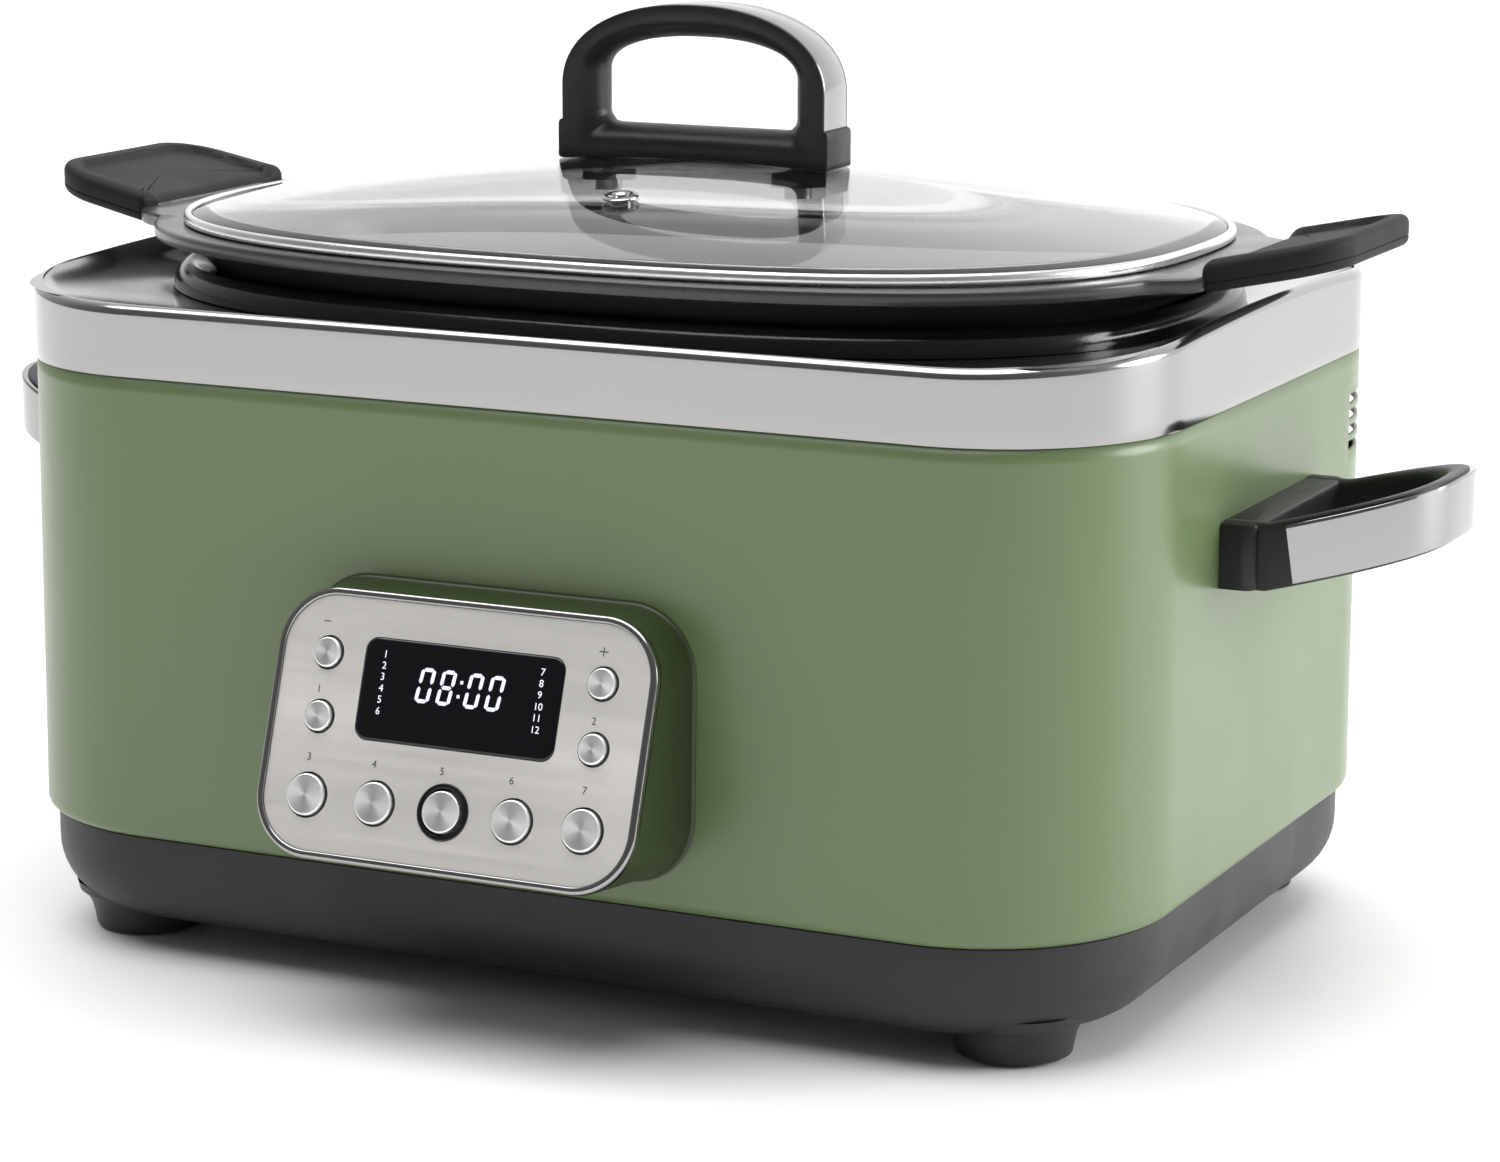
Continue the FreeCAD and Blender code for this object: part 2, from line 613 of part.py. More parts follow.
def handle_slab(reach, half_width, low, high):
    """Flat slab of the outline that climbs once it is clear of the bracket."""
    slab = prism(handle_outline(reach, half_width), high - low)
    slab.translate(Vector(0, 0, low))
    turn = BODY_HALF_LENGTH + HANDLE_RISE_FROM
    level = slab.common(box(BODY_HALF_LENGTH - 1, turn, -100, 100, 0, 400))
    climbing = slab.common(box(turn, 400, -100, 100, 0, 400))
    return level.fuse(rise_outward(climbing, HANDLE_RISE, turn))


def handle_screw_positions():
    z = HANDLE_BOTTOM + HANDLE_HEIGHT / 2
    return [(BODY_HALF_LENGTH, y, z) for y in (-34, 34)]


def handle_bracket():
    """Black moulding: a plate on the body's end and a loop for the fingers."""
    low, high = HANDLE_BOTTOM, HANDLE_BOTTOM + HANDLE_HEIGHT
    loop = handle_slab(HANDLE_REACH - HANDLE_TRIM, HANDLE_HALF_WIDTH - HANDLE_TRIM, low, high)
    gap = handle_slab(HANDLE_REACH - HANDLE_THICK, HANDLE_HALF_WIDTH - HANDLE_THICK, low - 20, high + 30)
    gap = gap.cut(box(0, BODY_HALF_LENGTH + BRACKET_DEPTH, -100, 100, 0, 400))
    shoulders = prism(rounded_rectangle(BRACKET_DEPTH, HANDLE_HALF_WIDTH + 1, 5), HANDLE_HEIGHT)
    shoulders.translate(Vector(BODY_HALF_LENGTH, 0, low))
    shoulders = shoulders.common(box(BODY_HALF_LENGTH, 300, -100, 100, 0, 400))
    bracket = loop.fuse(shoulders).cut(gap)
    bracket = bracket.cut(box(BODY_HALF_LENGTH - 5, BODY_HALF_LENGTH, -100, 100, 0, 400))
    for x, y, z in handle_screw_positions():
        bracket = bracket.cut(cylinder(1.6, 10, x - 1, y, z, Vector(1, 0, 0)))
    return bracket


def handle_trim():
    """Bright strip let into the outside of the loop."""
    low, high = HANDLE_BOTTOM + 1.0, HANDLE_BOTTOM + HANDLE_HEIGHT - 1.0
    strip = handle_slab(HANDLE_REACH, HANDLE_HALF_WIDTH, low, high)
    core = handle_slab(HANDLE_REACH - HANDLE_TRIM, HANDLE_HALF_WIDTH - HANDLE_TRIM, low - 20, high + 30)
    return strip.cut(core).common(box(HANDLE_TRIM_START, 400, -100, 100, 0, 400))


def handle_screws():
    screws = []
    for x, y, z in handle_screw_positions():
        start = x - SHELL_WALL - 2.4
        head = cylinder(SCREW_HEAD, 2.2, start, y, z, Vector(1, 0, 0))
        screw = head.fuse(cylinder(SCREW_SHANK, 11, start, y, z, Vector(1, 0, 0)))
        screws += [screw, mirrored(screw)]
    return Part.makeCompound(screws)


# ---------------------------------------------------------------- pot and grips
def pot_ear():
    """Tab on the flange's end, which carries the silicone grip."""
    ear = prism(rounded_rectangle(EAR_TIP - 176, EAR_HALF_WIDTH, 10), EAR_TOP - EAR_BOTTOM)
    ear.translate(Vector(176, 0, EAR_BOTTOM))
    ear = ear.common(box(182, 300, -100, 100, 0, 400))
    return rise_outward(ear, EAR_RISE, 190.0)


def cooking_pot():
    outside = ring_loft([
        (150, 98, POT_BOTTOM),
        (156, 104, POT_BOTTOM + 3),
        (159, 107, POT_BOTTOM + 10),
        (163.5, 110.5, 205),
        (165.5, 112.5, 217),
        (170, 115.5, 223),
        (178, 122, 228),
        (184, 127.3, FLANGE_BOTTOM),
    ])
    flange = ring_loft([(FLANGE_X, FLANGE_Y, FLANGE_BOTTOM), (FLANGE_X, FLANGE_Y, FLANGE_TOP)])
    cavity = ring_loft([
        (147, 95, POT_INSIDE_FLOOR),
        (152.5, 100.5, POT_INSIDE_FLOOR + 2.5),
        (156, 104, POT_INSIDE_FLOOR + 10),
        (160.5, 107.5, 205),
        (162.5, 109.5, 218),
        (167, 112.5, 226),
        (171, 117, FLANGE_TOP + 0.1),
    ])
    ear = pot_ear()
    return outside.fuse([flange, ear, mirrored(ear)]).cut(cavity)


def grip_outline(inset, start):
    """Right-hand grip in plan: straight inner edge, round outer corners."""
    end = GRIP_END - inset
    wide, narrow = GRIP_HALF_INNER - inset, GRIP_HALF_OUTER - inset
    corners = [Vector(start, -wide), Vector(end, -narrow), Vector(end, narrow), Vector(start, wide)]
    return Part.makePolygon(corners + corners[:1])


def pot_grip():
    thick = GRIP_TOP - GRIP_BOTTOM
    grip = prism(grip_outline(0, GRIP_START), thick)
    grip = grip.makeFillet(
        13, edges_at(grip, lambda b: b.ZLength > thick - 0.1 and b.XMin > GRIP_END - 1)
    )
    grip = grip.makeFillet(2.2, edges_at(grip, lambda b: b.XMax > GRIP_START + 5 and b.ZLength < 0.1))
    recess = prism(grip_outline(GRIP_BORDER, GRIP_START - 5), 5)
    recess = recess.makeFillet(8, edges_at(recess, lambda b: b.ZLength > 4.9 and b.XMin > 220))
    recess.translate(Vector(0, 0, thick - GRIP_RECESS))
    grip = grip.cut(recess)
    grip.translate(Vector(0, 0, GRIP_BOTTOM))
    pocket = box(
        GRIP_START - 5, EAR_TIP + 0.4, -EAR_HALF_WIDTH - 0.4, EAR_HALF_WIDTH + 0.4,
        EAR_BOTTOM - 0.3, EAR_TOP + 0.3,
    )
    return rise_outward(grip.cut(pocket), EAR_RISE, 190.0)


# ---------------------------------------------------------------- lid
def dome(edge_x, edge_y, edge_z, rise):
    """Solid under z = edge + rise (1 - s^2), s running from 1 at the edge inwards."""
    shares = (1.0, 0.9, 0.78, 0.64, 0.48, 0.3, 0.14)
    wires = [superellipse(edge_x, edge_y, edge_z - 8)]
    wires += [
        superellipse(edge_x * s, edge_y * s, edge_z + rise * (1 - s * s)) for s in shares
    ]
    return loft(wires)


def glass_top(x, y):
    """Height of the glass's upper face above a point of the lid."""
    edge_x, edge_y = LID_X - LID_BAND, LID_Y - LID_BAND
    share = (abs(x / edge_x) ** RING_POWER + abs(y / edge_y) ** RING_POWER) ** (1 / RING_POWER)
    return GLASS_EDGE_HIGH + GLASS_RISE_HIGH * (1 - share * share)


def glass_solid():
    return dome(LID_X - LID_BAND, LID_Y - LID_BAND, GLASS_EDGE_HIGH, GLASS_RISE_HIGH)


def vent_axis():
    step = 1.0
    slope = (glass_top(VENT_X, VENT_Y + step) - glass_top(VENT_X, VENT_Y - step)) / (2 * step)
    return Vector(0, -slope, 1).normalize()


def along_vent(radius, low, high):
    axis = vent_axis()
    foot = Vector(VENT_X, VENT_Y, glass_top(VENT_X, VENT_Y)) + axis * low
    return Part.makeCylinder(radius, high - low, foot, axis)


def lid_glass():
    underside = dome(LID_X - LID_BAND, LID_Y - LID_BAND, GLASS_EDGE_LOW, GLASS_RISE_LOW)
    glass = glass_solid().cut(underside)
    glass = glass.cut(along_vent(4.2, -9, 5))
    for x in (-LID_SCREW_X, LID_SCREW_X):
        glass = glass.cut(cylinder(3.0, 20, x, 0, 245))
    return glass


def lid_vent_grommet():
    eyelet = along_vent(4.0, -5.5, 1.2).fuse([along_vent(6.0, 0.15, 1.2), along_vent(6.0, -5.5, -4.4)])
    return eyelet.cut(along_vent(1.6, -9, 5))


def lid_rim():
    band = ring_loft([(LID_X, LID_Y, LID_BOTTOM), (LID_X, LID_Y, LID_BAND_TOP)])
    inner = [LID_X - LID_BAND, LID_Y - LID_BAND]
    seat = ring_loft([(*inner, GLASS_EDGE_LOW), (*inner, LID_BAND_TOP + 1)])
    lip = ring_loft([(168, 117, LID_BOTTOM - 1), (168, 117, LID_BAND_TOP)])
    return band.cut(seat).cut(lip)


def arch(half_width, spring, apex, foot, power=ARCH_POWER):
    """Upright outline in XZ: straight sides and a superelliptic arch on top."""
    points = []
    for step in range(17):
        angle = math.radians(180 * step / 16)
        c, s = math.cos(angle), max(math.sin(angle), 0.0)
        scale = (abs(c) ** power + s**power) ** (-1 / power)
        points.append(Vector(half_width * scale * c, 0, spring + (apex - spring) * scale * s))
    curve = Part.BSplineCurve()
    curve.interpolate(Points=points)
    low_left, low_right = Vector(-half_width, 0, foot), Vector(half_width, 0, foot)
    sides = [(points[-1], low_left), (low_left, low_right), (low_right, points[0])]
    return Part.Wire([curve.toShape()] + [Part.LineSegment(a, b).toShape() for a, b in sides])


def arch_solid(half_width, spring, apex, foot, half_depth):
    face = Part.Face(arch(half_width, spring, apex, foot))
    face.translate(Vector(0, -half_depth, 0))
    return face.extrude(Vector(0, 2 * half_depth, 0))


def handle_window():
    """Finger opening: straight through the middle, flaring towards both faces."""
    through = arch_solid(WINDOW_HALF, WINDOW_SPRING, WINDOW_APEX, WINDOW_SILL, 30)
    flares = []
    for side in (-1, 1):
        narrow = arch(WINDOW_HALF, WINDOW_SPRING, WINDOW_APEX, WINDOW_SILL)
        narrow.translate(Vector(0, side * WINDOW_FLAT, 0))
        wide = arch(
            WINDOW_HALF + WINDOW_FLARE, WINDOW_SPRING,
            WINDOW_APEX + WINDOW_FLARE, WINDOW_SILL - WINDOW_FLARE,
        )
        wide.translate(Vector(0, side * (KNOB_HALF_WIDTH + 0.5), 0))
        flares.append(loft([narrow, wide]))
    return through.fuse(flares)


def strap_solid(clearance=0.0):
    outside = arch_solid(ARCH_HALF, ARCH_SPRING, ARCH_APEX, KNOB_STEP, STRAP_HALF_WIDTH + clearance)
    inner_half, inner_apex = ARCH_HALF - STRAP, ARCH_APEX - STRAP
    return outside.cut(arch_solid(inner_half, ARCH_SPRING, inner_apex, 240, 30))


def lid_handle():
    """Stay-cool loop: a block that follows the dome, and an arch for the hand."""
    loop = arch_solid(ARCH_HALF - 0.1, ARCH_SPRING, ARCH_APEX - 0.1, 245, KNOB_HALF_WIDTH)
    block = box(-KNOB_HALF, KNOB_HALF, -KNOB_HALF_WIDTH, KNOB_HALF_WIDTH, 245, KNOB_STEP)
    block = block.makeFillet(3, edges_at(block, lambda b: b.ZLength > 20))
    handle = loop.cut(strap_solid(0.05)).fuse(block).cut(handle_window()).cut(glass_solid())
    for x in (-LID_SCREW_X, LID_SCREW_X):
        handle = handle.cut(cylinder(2.5, 16, x, 0, 246))
    return handle


def lid_handle_strap():
    return strap_solid()


def under_glass(x):
    edge = LID_X - LID_BAND
    return GLASS_EDGE_LOW + GLASS_RISE_LOW * (1 - (x / edge) ** 2)


def lid_handle_washers():
    washers = []
    for x in (-LID_SCREW_X, LID_SCREW_X):
        washer = cylinder(9, 2.6, x, 0, under_glass(x) - 3.2)
        washers.append(washer.cut(cylinder(2.7, 10, x, 0, 245)))
    return Part.makeCompound(washers)


def lid_handle_screws():
    screws = []
    for x in (-LID_SCREW_X, LID_SCREW_X):
        low = under_glass(x) - 3.2
        screw = cylinder(4.6, 2.6, x, 0, low - 2.6).fuse(cylinder(2.3, 11, x, 0, low))
        screws.append(screw)
    return Part.makeCompound(screws)


# ---------------------------------------------------------------- write every sub-part
right_bracket, right_trim, right_grip = handle_bracket(), handle_trim(), pot_grip()

PARTS = {
    "base_shell": base_shell(),
    "base_screws": base_screws(),
    "outer_shell": outer_shell(),
    "cord_gland": cord_gland(),
    "top_trim": top_trim(),
    "well_collar": well_collar(),
    "heating_well": heating_well(),
    "heating_plate": heating_plate(),
    "heating_element": heating_element(),
    "temperature_sensor": temperature_sensor(),
    "thermal_fuse": thermal_fuse(),
    "heat_shield": heat_shield(),
    "well_posts": well_posts(),
    "power_board": power_board(),
    "power_transformer": power_transformer(),
    "power_relay": power_relay(),
    "heat_sink": heat_sink(),
    "terminal_block": terminal_block(),
    "control_ribbon": control_ribbon(),
    "control_pod": control_pod(),
    "panel_bezel": panel_bezel(),
    "panel_fascia": panel_fascia(),
    "display_window": display_window(),
    "display_module": display_module(),
    "control_board": control_board(),
    "tact_switches": tact_switches(),
    "start_button_ring": start_button_ring(),
    "right_handle_bracket": right_bracket,
    "left_handle_bracket": mirrored(right_bracket),
    "right_handle_trim": right_trim,
    "left_handle_trim": mirrored(right_trim),
    "handle_screws": handle_screws(),
    "cooking_pot": cooking_pot(),
    "right_pot_grip": right_grip,
    "left_pot_grip": mirrored(right_grip),
    "lid_glass": lid_glass(),
    "lid_rim": lid_rim(),
    "lid_vent_grommet": lid_vent_grommet(),
    "lid_handle": lid_handle(),
    "lid_handle_strap": lid_handle_strap(),
    "lid_handle_washers": lid_handle_washers(),
    "lid_handle_screws": lid_handle_screws(),
}
for side_x, side in ((-1, "left"), (1, "right")):
    for side_y, end in ((-1, "front"), (1, "rear")):
        PARTS[f"foot_pad_{end}_{side}"] = foot_pad(side_x * LEG_X, side_y * LEG_Y)
for name, (u, v, radius) in BUTTONS.items():
    PARTS[name] = button(u, v, radius)

for name, shape in PARTS.items():
    shape.translate(Vector(0, FRAME_SHIFT, 0))
    solids = len(shape.Solids)
    if not shape.isValid() or solids == 0:
        print("check", name, "valid", shape.isValid(), "solids", solids)
    shape.exportStep(f"parts/{name}.step")
    box_size = shape.BoundBox
    print(
        f"{name}: {solids} solid(s), x {box_size.XMin:.1f}..{box_size.XMax:.1f},"
        f" y {box_size.YMin:.1f}..{box_size.YMax:.1f}, z {box_size.ZMin:.1f}..{box_size.ZMax:.1f}"
    )
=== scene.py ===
"""A countertop slow cooker with a lift-out oval pot, dressed in the order it is built.

Lengths in this script are millimetres about the middle of the body, and piece() turns
them into metres in the shared frame. The body's outline is a rounded rectangle: the
path of its corner centres plus radius times outward normal. Every ring from the trim's
dish to the glass is a superellipse, |x / a| ** n + |y / b| ** n = 1. A skin joins rows
of such outlines into one surface.
"""
import math

import bpy
import numpy as np
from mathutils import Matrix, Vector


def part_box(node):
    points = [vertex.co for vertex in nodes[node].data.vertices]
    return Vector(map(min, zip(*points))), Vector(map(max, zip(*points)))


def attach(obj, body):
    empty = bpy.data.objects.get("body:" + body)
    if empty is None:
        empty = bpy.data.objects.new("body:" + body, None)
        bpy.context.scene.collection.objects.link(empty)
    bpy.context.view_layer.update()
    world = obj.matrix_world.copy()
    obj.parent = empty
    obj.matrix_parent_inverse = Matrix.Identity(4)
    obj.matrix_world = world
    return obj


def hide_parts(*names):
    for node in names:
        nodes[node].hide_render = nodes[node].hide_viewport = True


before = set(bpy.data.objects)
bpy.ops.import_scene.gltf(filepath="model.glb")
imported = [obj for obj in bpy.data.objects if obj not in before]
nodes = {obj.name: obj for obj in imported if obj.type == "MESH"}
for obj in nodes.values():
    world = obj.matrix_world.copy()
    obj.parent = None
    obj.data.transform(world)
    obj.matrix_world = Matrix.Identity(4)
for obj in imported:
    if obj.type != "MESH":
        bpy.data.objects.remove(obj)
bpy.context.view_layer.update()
scene = bpy.context.scene

# ---------------------------------------------------------------- the studio
# The appliance stands on a pale level floor under a broad overhead lamp, with a
# stronger soft lamp off its right-hand end. The room is bright behind it and dim in front.


def finish_of(name, colour, roughness, metallic=0.0, **values):
    """A material whose plain values are set on the shader's own sockets."""
    material = bpy.data.materials.new(name)
    material.use_nodes = True
    shader = material.node_tree.nodes["Principled BSDF"]
    shader.inputs["Base Color"].default_value = (*colour, 1.0)
    shader.inputs["Roughness"].default_value = roughness
    shader.inputs["Metallic"].default_value = metallic
    for socket, value in values.items():
        shader.inputs[socket.replace("_", " ")].default_value = value
    return material


def stage_piece(name, corners, material):
    """A flat card or floor, which isn't part of the object."""
    mesh = bpy.data.meshes.new(name)
    mesh.from_pydata(corners, [], [(0, 1, 2, 3)])
    mesh.materials.append(material)
    made = bpy.data.objects.new(name, mesh)
    scene.collection.objects.link(made)
    return made


reach = 14.0
stage_piece(
    "studio_floor",
    [(-reach, -reach, 0), (reach, -reach, 0), (reach, reach, 0), (-reach, reach, 0)],
    finish_of("studio_floor", (0.93, 0.93, 0.93), 0.6),
)

surround = bpy.data.worlds.new("soft_white_surround")
scene.world = surround
surround.use_nodes = True
sky = surround.node_tree
room_light = sky.nodes["Background"]
room_light.inputs["Strength"].default_value = 1.35
direction = sky.nodes.new("ShaderNodeTexCoord")
compass = sky.nodes.new("ShaderNodeSeparateXYZ")
depth_share = sky.nodes.new("ShaderNodeMapRange")
depth_share.inputs["From Min"].default_value = -1.0
room_ramp = sky.nodes.new("ShaderNodeValToRGB")
room_ramp.color_ramp.elements[0].color = (0.10, 0.10, 0.10, 1.0)
for place, level in ((0.34, 0.19), (0.60, 0.42)):
    room_ramp.color_ramp.elements.new(place).color = (level, level, level, 1.0)
sky.links.new(direction.outputs["Generated"], compass.inputs["Vector"])
sky.links.new(compass.outputs["Y"], depth_share.inputs["Value"])
sky.links.new(depth_share.outputs["Result"], room_ramp.inputs["Fac"])
sky.links.new(room_ramp.outputs["Color"], room_light.inputs["Color"])
backdrop = sky.nodes.new("ShaderNodeBackground")
backdrop.inputs["Color"].default_value = (1.0, 1.0, 1.0, 1.0)
backdrop.inputs["Strength"].default_value = 1.0
seen = sky.nodes.new("ShaderNodeLightPath")
either = sky.nodes.new("ShaderNodeMixShader")
sky.links.new(seen.outputs["Is Camera Ray"], either.inputs["Fac"])
sky.links.new(room_light.outputs["Background"], either.inputs[1])
sky.links.new(backdrop.outputs["Background"], either.inputs[2])
sky.links.new(either.outputs["Shader"], sky.nodes["World Output"].inputs["Surface"])


def soft_sun(name, strength, spread, towards):
    """A wide sun shining along the direction `towards`."""
    data = bpy.data.lights.new(name, "SUN")
    data.energy = strength
    data.angle = math.radians(spread)
    lamp = bpy.data.objects.new(name, data)
    aim = np.array(towards, float) / np.linalg.norm(towards)
    lamp.rotation_euler = (math.acos(-aim[2]), 0.0, math.atan2(aim[1], aim[0]) - math.pi / 2)
    scene.collection.objects.link(lamp)


soft_sun("overhead_lamp", 2.7, 60, (0.14, 0.08, -1.0))
soft_sun("right_hand_lamp", 2.2, 35, (-1.0, -0.45, -0.35))

scene.view_settings.view_transform = "Standard"
camera_data = bpy.data.cameras.new("camera")
camera = bpy.data.objects.new("camera", camera_data)
scene.collection.objects.link(camera)
scene.camera = camera
turn, drop = math.radians(26.18), math.radians(12.74)
looking = np.array([
    -math.sin(turn) * math.cos(drop), math.cos(turn) * math.cos(drop), -math.sin(drop)
])
camera.location = np.array([0.0, 0.020, 0.0973]) - 1.4736 * looking
camera.rotation_euler = (math.pi / 2 - drop, 0.0, turn)
camera_data.sensor_width = 36.0
camera_data.lens = 103.8
camera_data.shift_x = 0.0311
camera_data.shift_y = 0.0308
camera_data.clip_end = 100.0

# ---------------------------------------------------------------- base moulding and feet
# One dark grey injection moulding: a shallow bowl that curls in under the body, with a
# stubby leg under each corner. A rubber pad is pressed into the end of each leg.

millimetre = 0.001
low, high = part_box("outer_shell")
body_y = (low.y + high.y) / 2 / millimetre


def extent(node):
    """Lowest and highest corner of a CAD node, in this script's millimetres."""
    low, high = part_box(node)
    shift = np.array([0, body_y, 0])
    return np.array(low) / millimetre - shift, np.array(high) / millimetre - shift


shell_low, shell_high = extent("outer_shell")
half_length = shell_high[0]
foot_half_depth, top_half_depth = 145.0, 141.0
foot_corner, top_corner = 63.0, 60.0
shell_foot, shell_top = shell_low[2], shell_high[2]


def corner_path(half_x, half_y, radius, arc=24, side=20):
    """A rounded rectangle, anticlockwise from +X, as three rows: corner centres, unit
    outward normals and radii. `radius` may be four values, one a corner."""
    radius = np.broadcast_to(np.asarray(radius, float), (4,))
    signs = np.array([(1, 1), (-1, 1), (-1, -1), (1, -1)])
    hubs = signs * (np.array([half_x, half_y]) - radius[:, None])
    centres, normals, radii = [], [], []
    share = np.linspace(0, 1, side + 1)[1:-1, None]
    for corner in range(4):
        after = (corner + 1) % 4
        angle = (np.linspace(0, 1, arc + 1) + corner) * math.pi / 2
        round_it = np.stack([np.cos(angle), np.sin(angle)], 1)
        centres += [np.repeat(hubs[corner][None], arc + 1, 0)]
        centres += [hubs[corner] + share * (hubs[after] - hubs[corner])]
        normals += [round_it, np.repeat(round_it[-1:], side - 1, 0)]
        radii += [np.full(arc + 1, radius[corner])]
        radii += [radius[corner] + share[:, 0] * (radius[after] - radius[corner])]
    return np.concatenate(centres), np.concatenate(normals), np.concatenate(radii)


def box_row(half_x, half_y, radius, z, inset=0.0, **steps):
    """A row of points round a rounded rectangle at height z, drawn in by inset."""
    centre, normal, radii = corner_path(half_x, half_y, radius, **steps)
    flat = centre + (radii - inset)[:, None] * normal
    return np.column_stack([flat, np.broadcast_to(np.asarray(z, float), len(flat))])


def body_row(z, inset=0.0, height=None, **steps):
    """The body's outline, a little deeper and rounder at its foot than at its top."""
    share = (z - shell_foot) / (shell_top - shell_foot)
    half_depth = foot_half_depth + share * (top_half_depth - foot_half_depth)
    corner = foot_corner + share * (top_corner - foot_corner)
    return box_row(half_length, half_depth, corner, z if height is None else height, inset, **steps)


def skin(grid, looped=False, start_cap=False, end_cap=False):
    """Vertices and faces of a grid whose columns run anticlockwise round an axis and
    whose rows run up it, so its faces look outward. Caps are fans to a middle point;
    looped joins the last row to the first."""
    rows, columns, _ = grid.shape
    vertices = grid.reshape(-1, 3)
    i = np.arange(rows if looped else rows - 1)[:, None]
    j = np.arange(columns)[None, :]
    above, beside = (i + 1) % rows * columns, (j + 1) % columns
    quads = np.stack([i * columns + j, i * columns + beside, above + beside, above + j], -1)
    faces = quads.reshape(-1, 4).tolist()
    j, beside = j[0], beside[0]
    if start_cap:
        hub = np.full(columns, len(vertices))
        vertices = np.vstack([vertices, grid[0].mean(0)])
        faces += np.stack([hub, beside, j], -1).tolist()
    if end_cap:
        hub = np.full(columns, len(vertices))
        vertices = np.vstack([vertices, grid[-1].mean(0)])
        last = (rows - 1) * columns
        faces += np.stack([hub, last + j, last + beside], -1).tolist()
    return vertices, faces


def piece(name, parts, material, body, replaced=(), crease=40.0):
    """One object made of skins. It rides on a body and stands for CAD nodes."""
    vertices, faces = np.zeros((0, 3)), []
    for part_vertices, part_faces in parts:
        start = len(vertices)
        faces += [[index + start for index in face] for face in part_faces]
        vertices = np.vstack([vertices, part_vertices])
    mesh = bpy.data.meshes.new(name)
    mesh.from_pydata(((vertices + [0, body_y, 0]) * millimetre).tolist(), [], faces)
    mesh.materials.append(material)
    mesh.shade_smooth()
    mesh.set_sharp_from_angle(angle=math.radians(crease))
    made = bpy.data.objects.new(name, mesh)
    scene.collection.objects.link(made)
    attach(made, body)
    if replaced:
        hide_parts(*replaced)
    return made


def dress(names, material):
    """Give CAD nodes whose shape is right their finish."""
    for name in names:
        nodes[name].data.materials.clear()
        nodes[name].data.materials.append(material)


def cloudy(material, scale, low, high, detail=3.0, stretch=(1.0, 1.0, 1.0)):
    """Noise on Object coordinates that runs from low to high."""
    tree = material.node_tree
    where = tree.nodes.new("ShaderNodeTexCoord")
    mapping = tree.nodes.new("ShaderNodeMapping")
    mapping.inputs["Scale"].default_value = stretch
    cloud = tree.nodes.new("ShaderNodeTexNoise")
    cloud.inputs["Scale"].default_value = scale
    cloud.inputs["Detail"].default_value = detail
    spread = tree.nodes.new("ShaderNodeMapRange")
    spread.inputs["From Min"].default_value = 0.3
    spread.inputs["From Max"].default_value = 0.7
    spread.inputs["To Min"].default_value = low
    spread.inputs["To Max"].default_value = high
    tree.links.new(where.outputs["Object"], mapping.inputs["Vector"])
    tree.links.new(mapping.outputs["Vector"], cloud.inputs["Vector"])
    tree.links.new(cloud.outputs["Fac"], spread.inputs["Value"])
    return spread.outputs["Result"]


def tint(material, share, other):
    """Drift the base colour towards another by a share socket."""
    tree = material.node_tree
    base = tree.nodes["Principled BSDF"].inputs["Base Color"]
    mix = tree.nodes.new("ShaderNodeMixRGB")
    mix.inputs["Color1"].default_value = base.default_value
    mix.inputs["Color2"].default_value = (*other, 1.0)
    tree.links.new(share, mix.inputs["Fac"])
    tree.links.new(mix.outputs["Color"], base)


def vary_roughness(material, share):
    tree = material.node_tree
    tree.links.new(share, tree.nodes["Principled BSDF"].inputs["Roughness"])


def emboss(material, height, depth):
    """Raise the surface by a height socket times depth in millimetres."""
    tree = material.node_tree
    bump = tree.nodes.new("ShaderNodeBump")
    bump.inputs["Distance"].default_value = depth * millimetre
    tree.links.new(height, bump.inputs["Height"])
    tree.links.new(bump.outputs["Normal"], tree.nodes["Principled BSDF"].inputs["Normal"])


def moulded(name, colour, roughness, grain=0.03, **values):
    """Moulded plastic: slightly uneven colour and sheen over a very fine grain."""
    material = finish_of(name, colour, roughness, **values)
    tint(material, cloudy(material, 14, 0.0, 1.0), [c * 1.18 + 0.002 for c in colour])
    vary_roughness(material, cloudy(material, 40, roughness - 0.04, roughness + 0.05))
    emboss(material, cloudy(material, 1400, 0, 1, 2.0), grain)
    return material


base_plastic = moulded("base_satin_plastic", (0.021, 0.021, 0.023), 0.44, Specular_IOR_Level=0.36)
base_inset, base_roll, base_wall = 3.5, 22.0, 2.5
base_underside = 9.0
curl = np.linspace(0, math.pi / 2, 14)
foot = shell_foot - 0.15


def base_row(inset, z):
    return body_row(shell_foot, base_inset + inset, z)


rows = [base_row(base_roll, base_underside)]
rows += [
    base_row(base_roll * (1 - math.sin(a)), base_underside + base_roll * (1 - math.cos(a)))
    for a in curl
]
rows += [base_row(0, foot - 0.4), base_row(0.4, foot)]
rows += [base_row(base_wall, foot), base_row(base_wall, foot - 9)]
base_parts = [skin(np.array(rows), start_cap=True)]


def turned(profile, centre, steps=72):
    """Rows of a profile of (radius, height) turned about an upright axis."""
    angle = np.arange(steps) * 2 * math.pi / steps
    circle = np.column_stack([np.cos(angle), np.sin(angle), 0 * angle])
    radius, height = np.array(profile, float).T[..., None, None]
    return radius * circle + height * np.array([0, 0, 1.0]) + centre


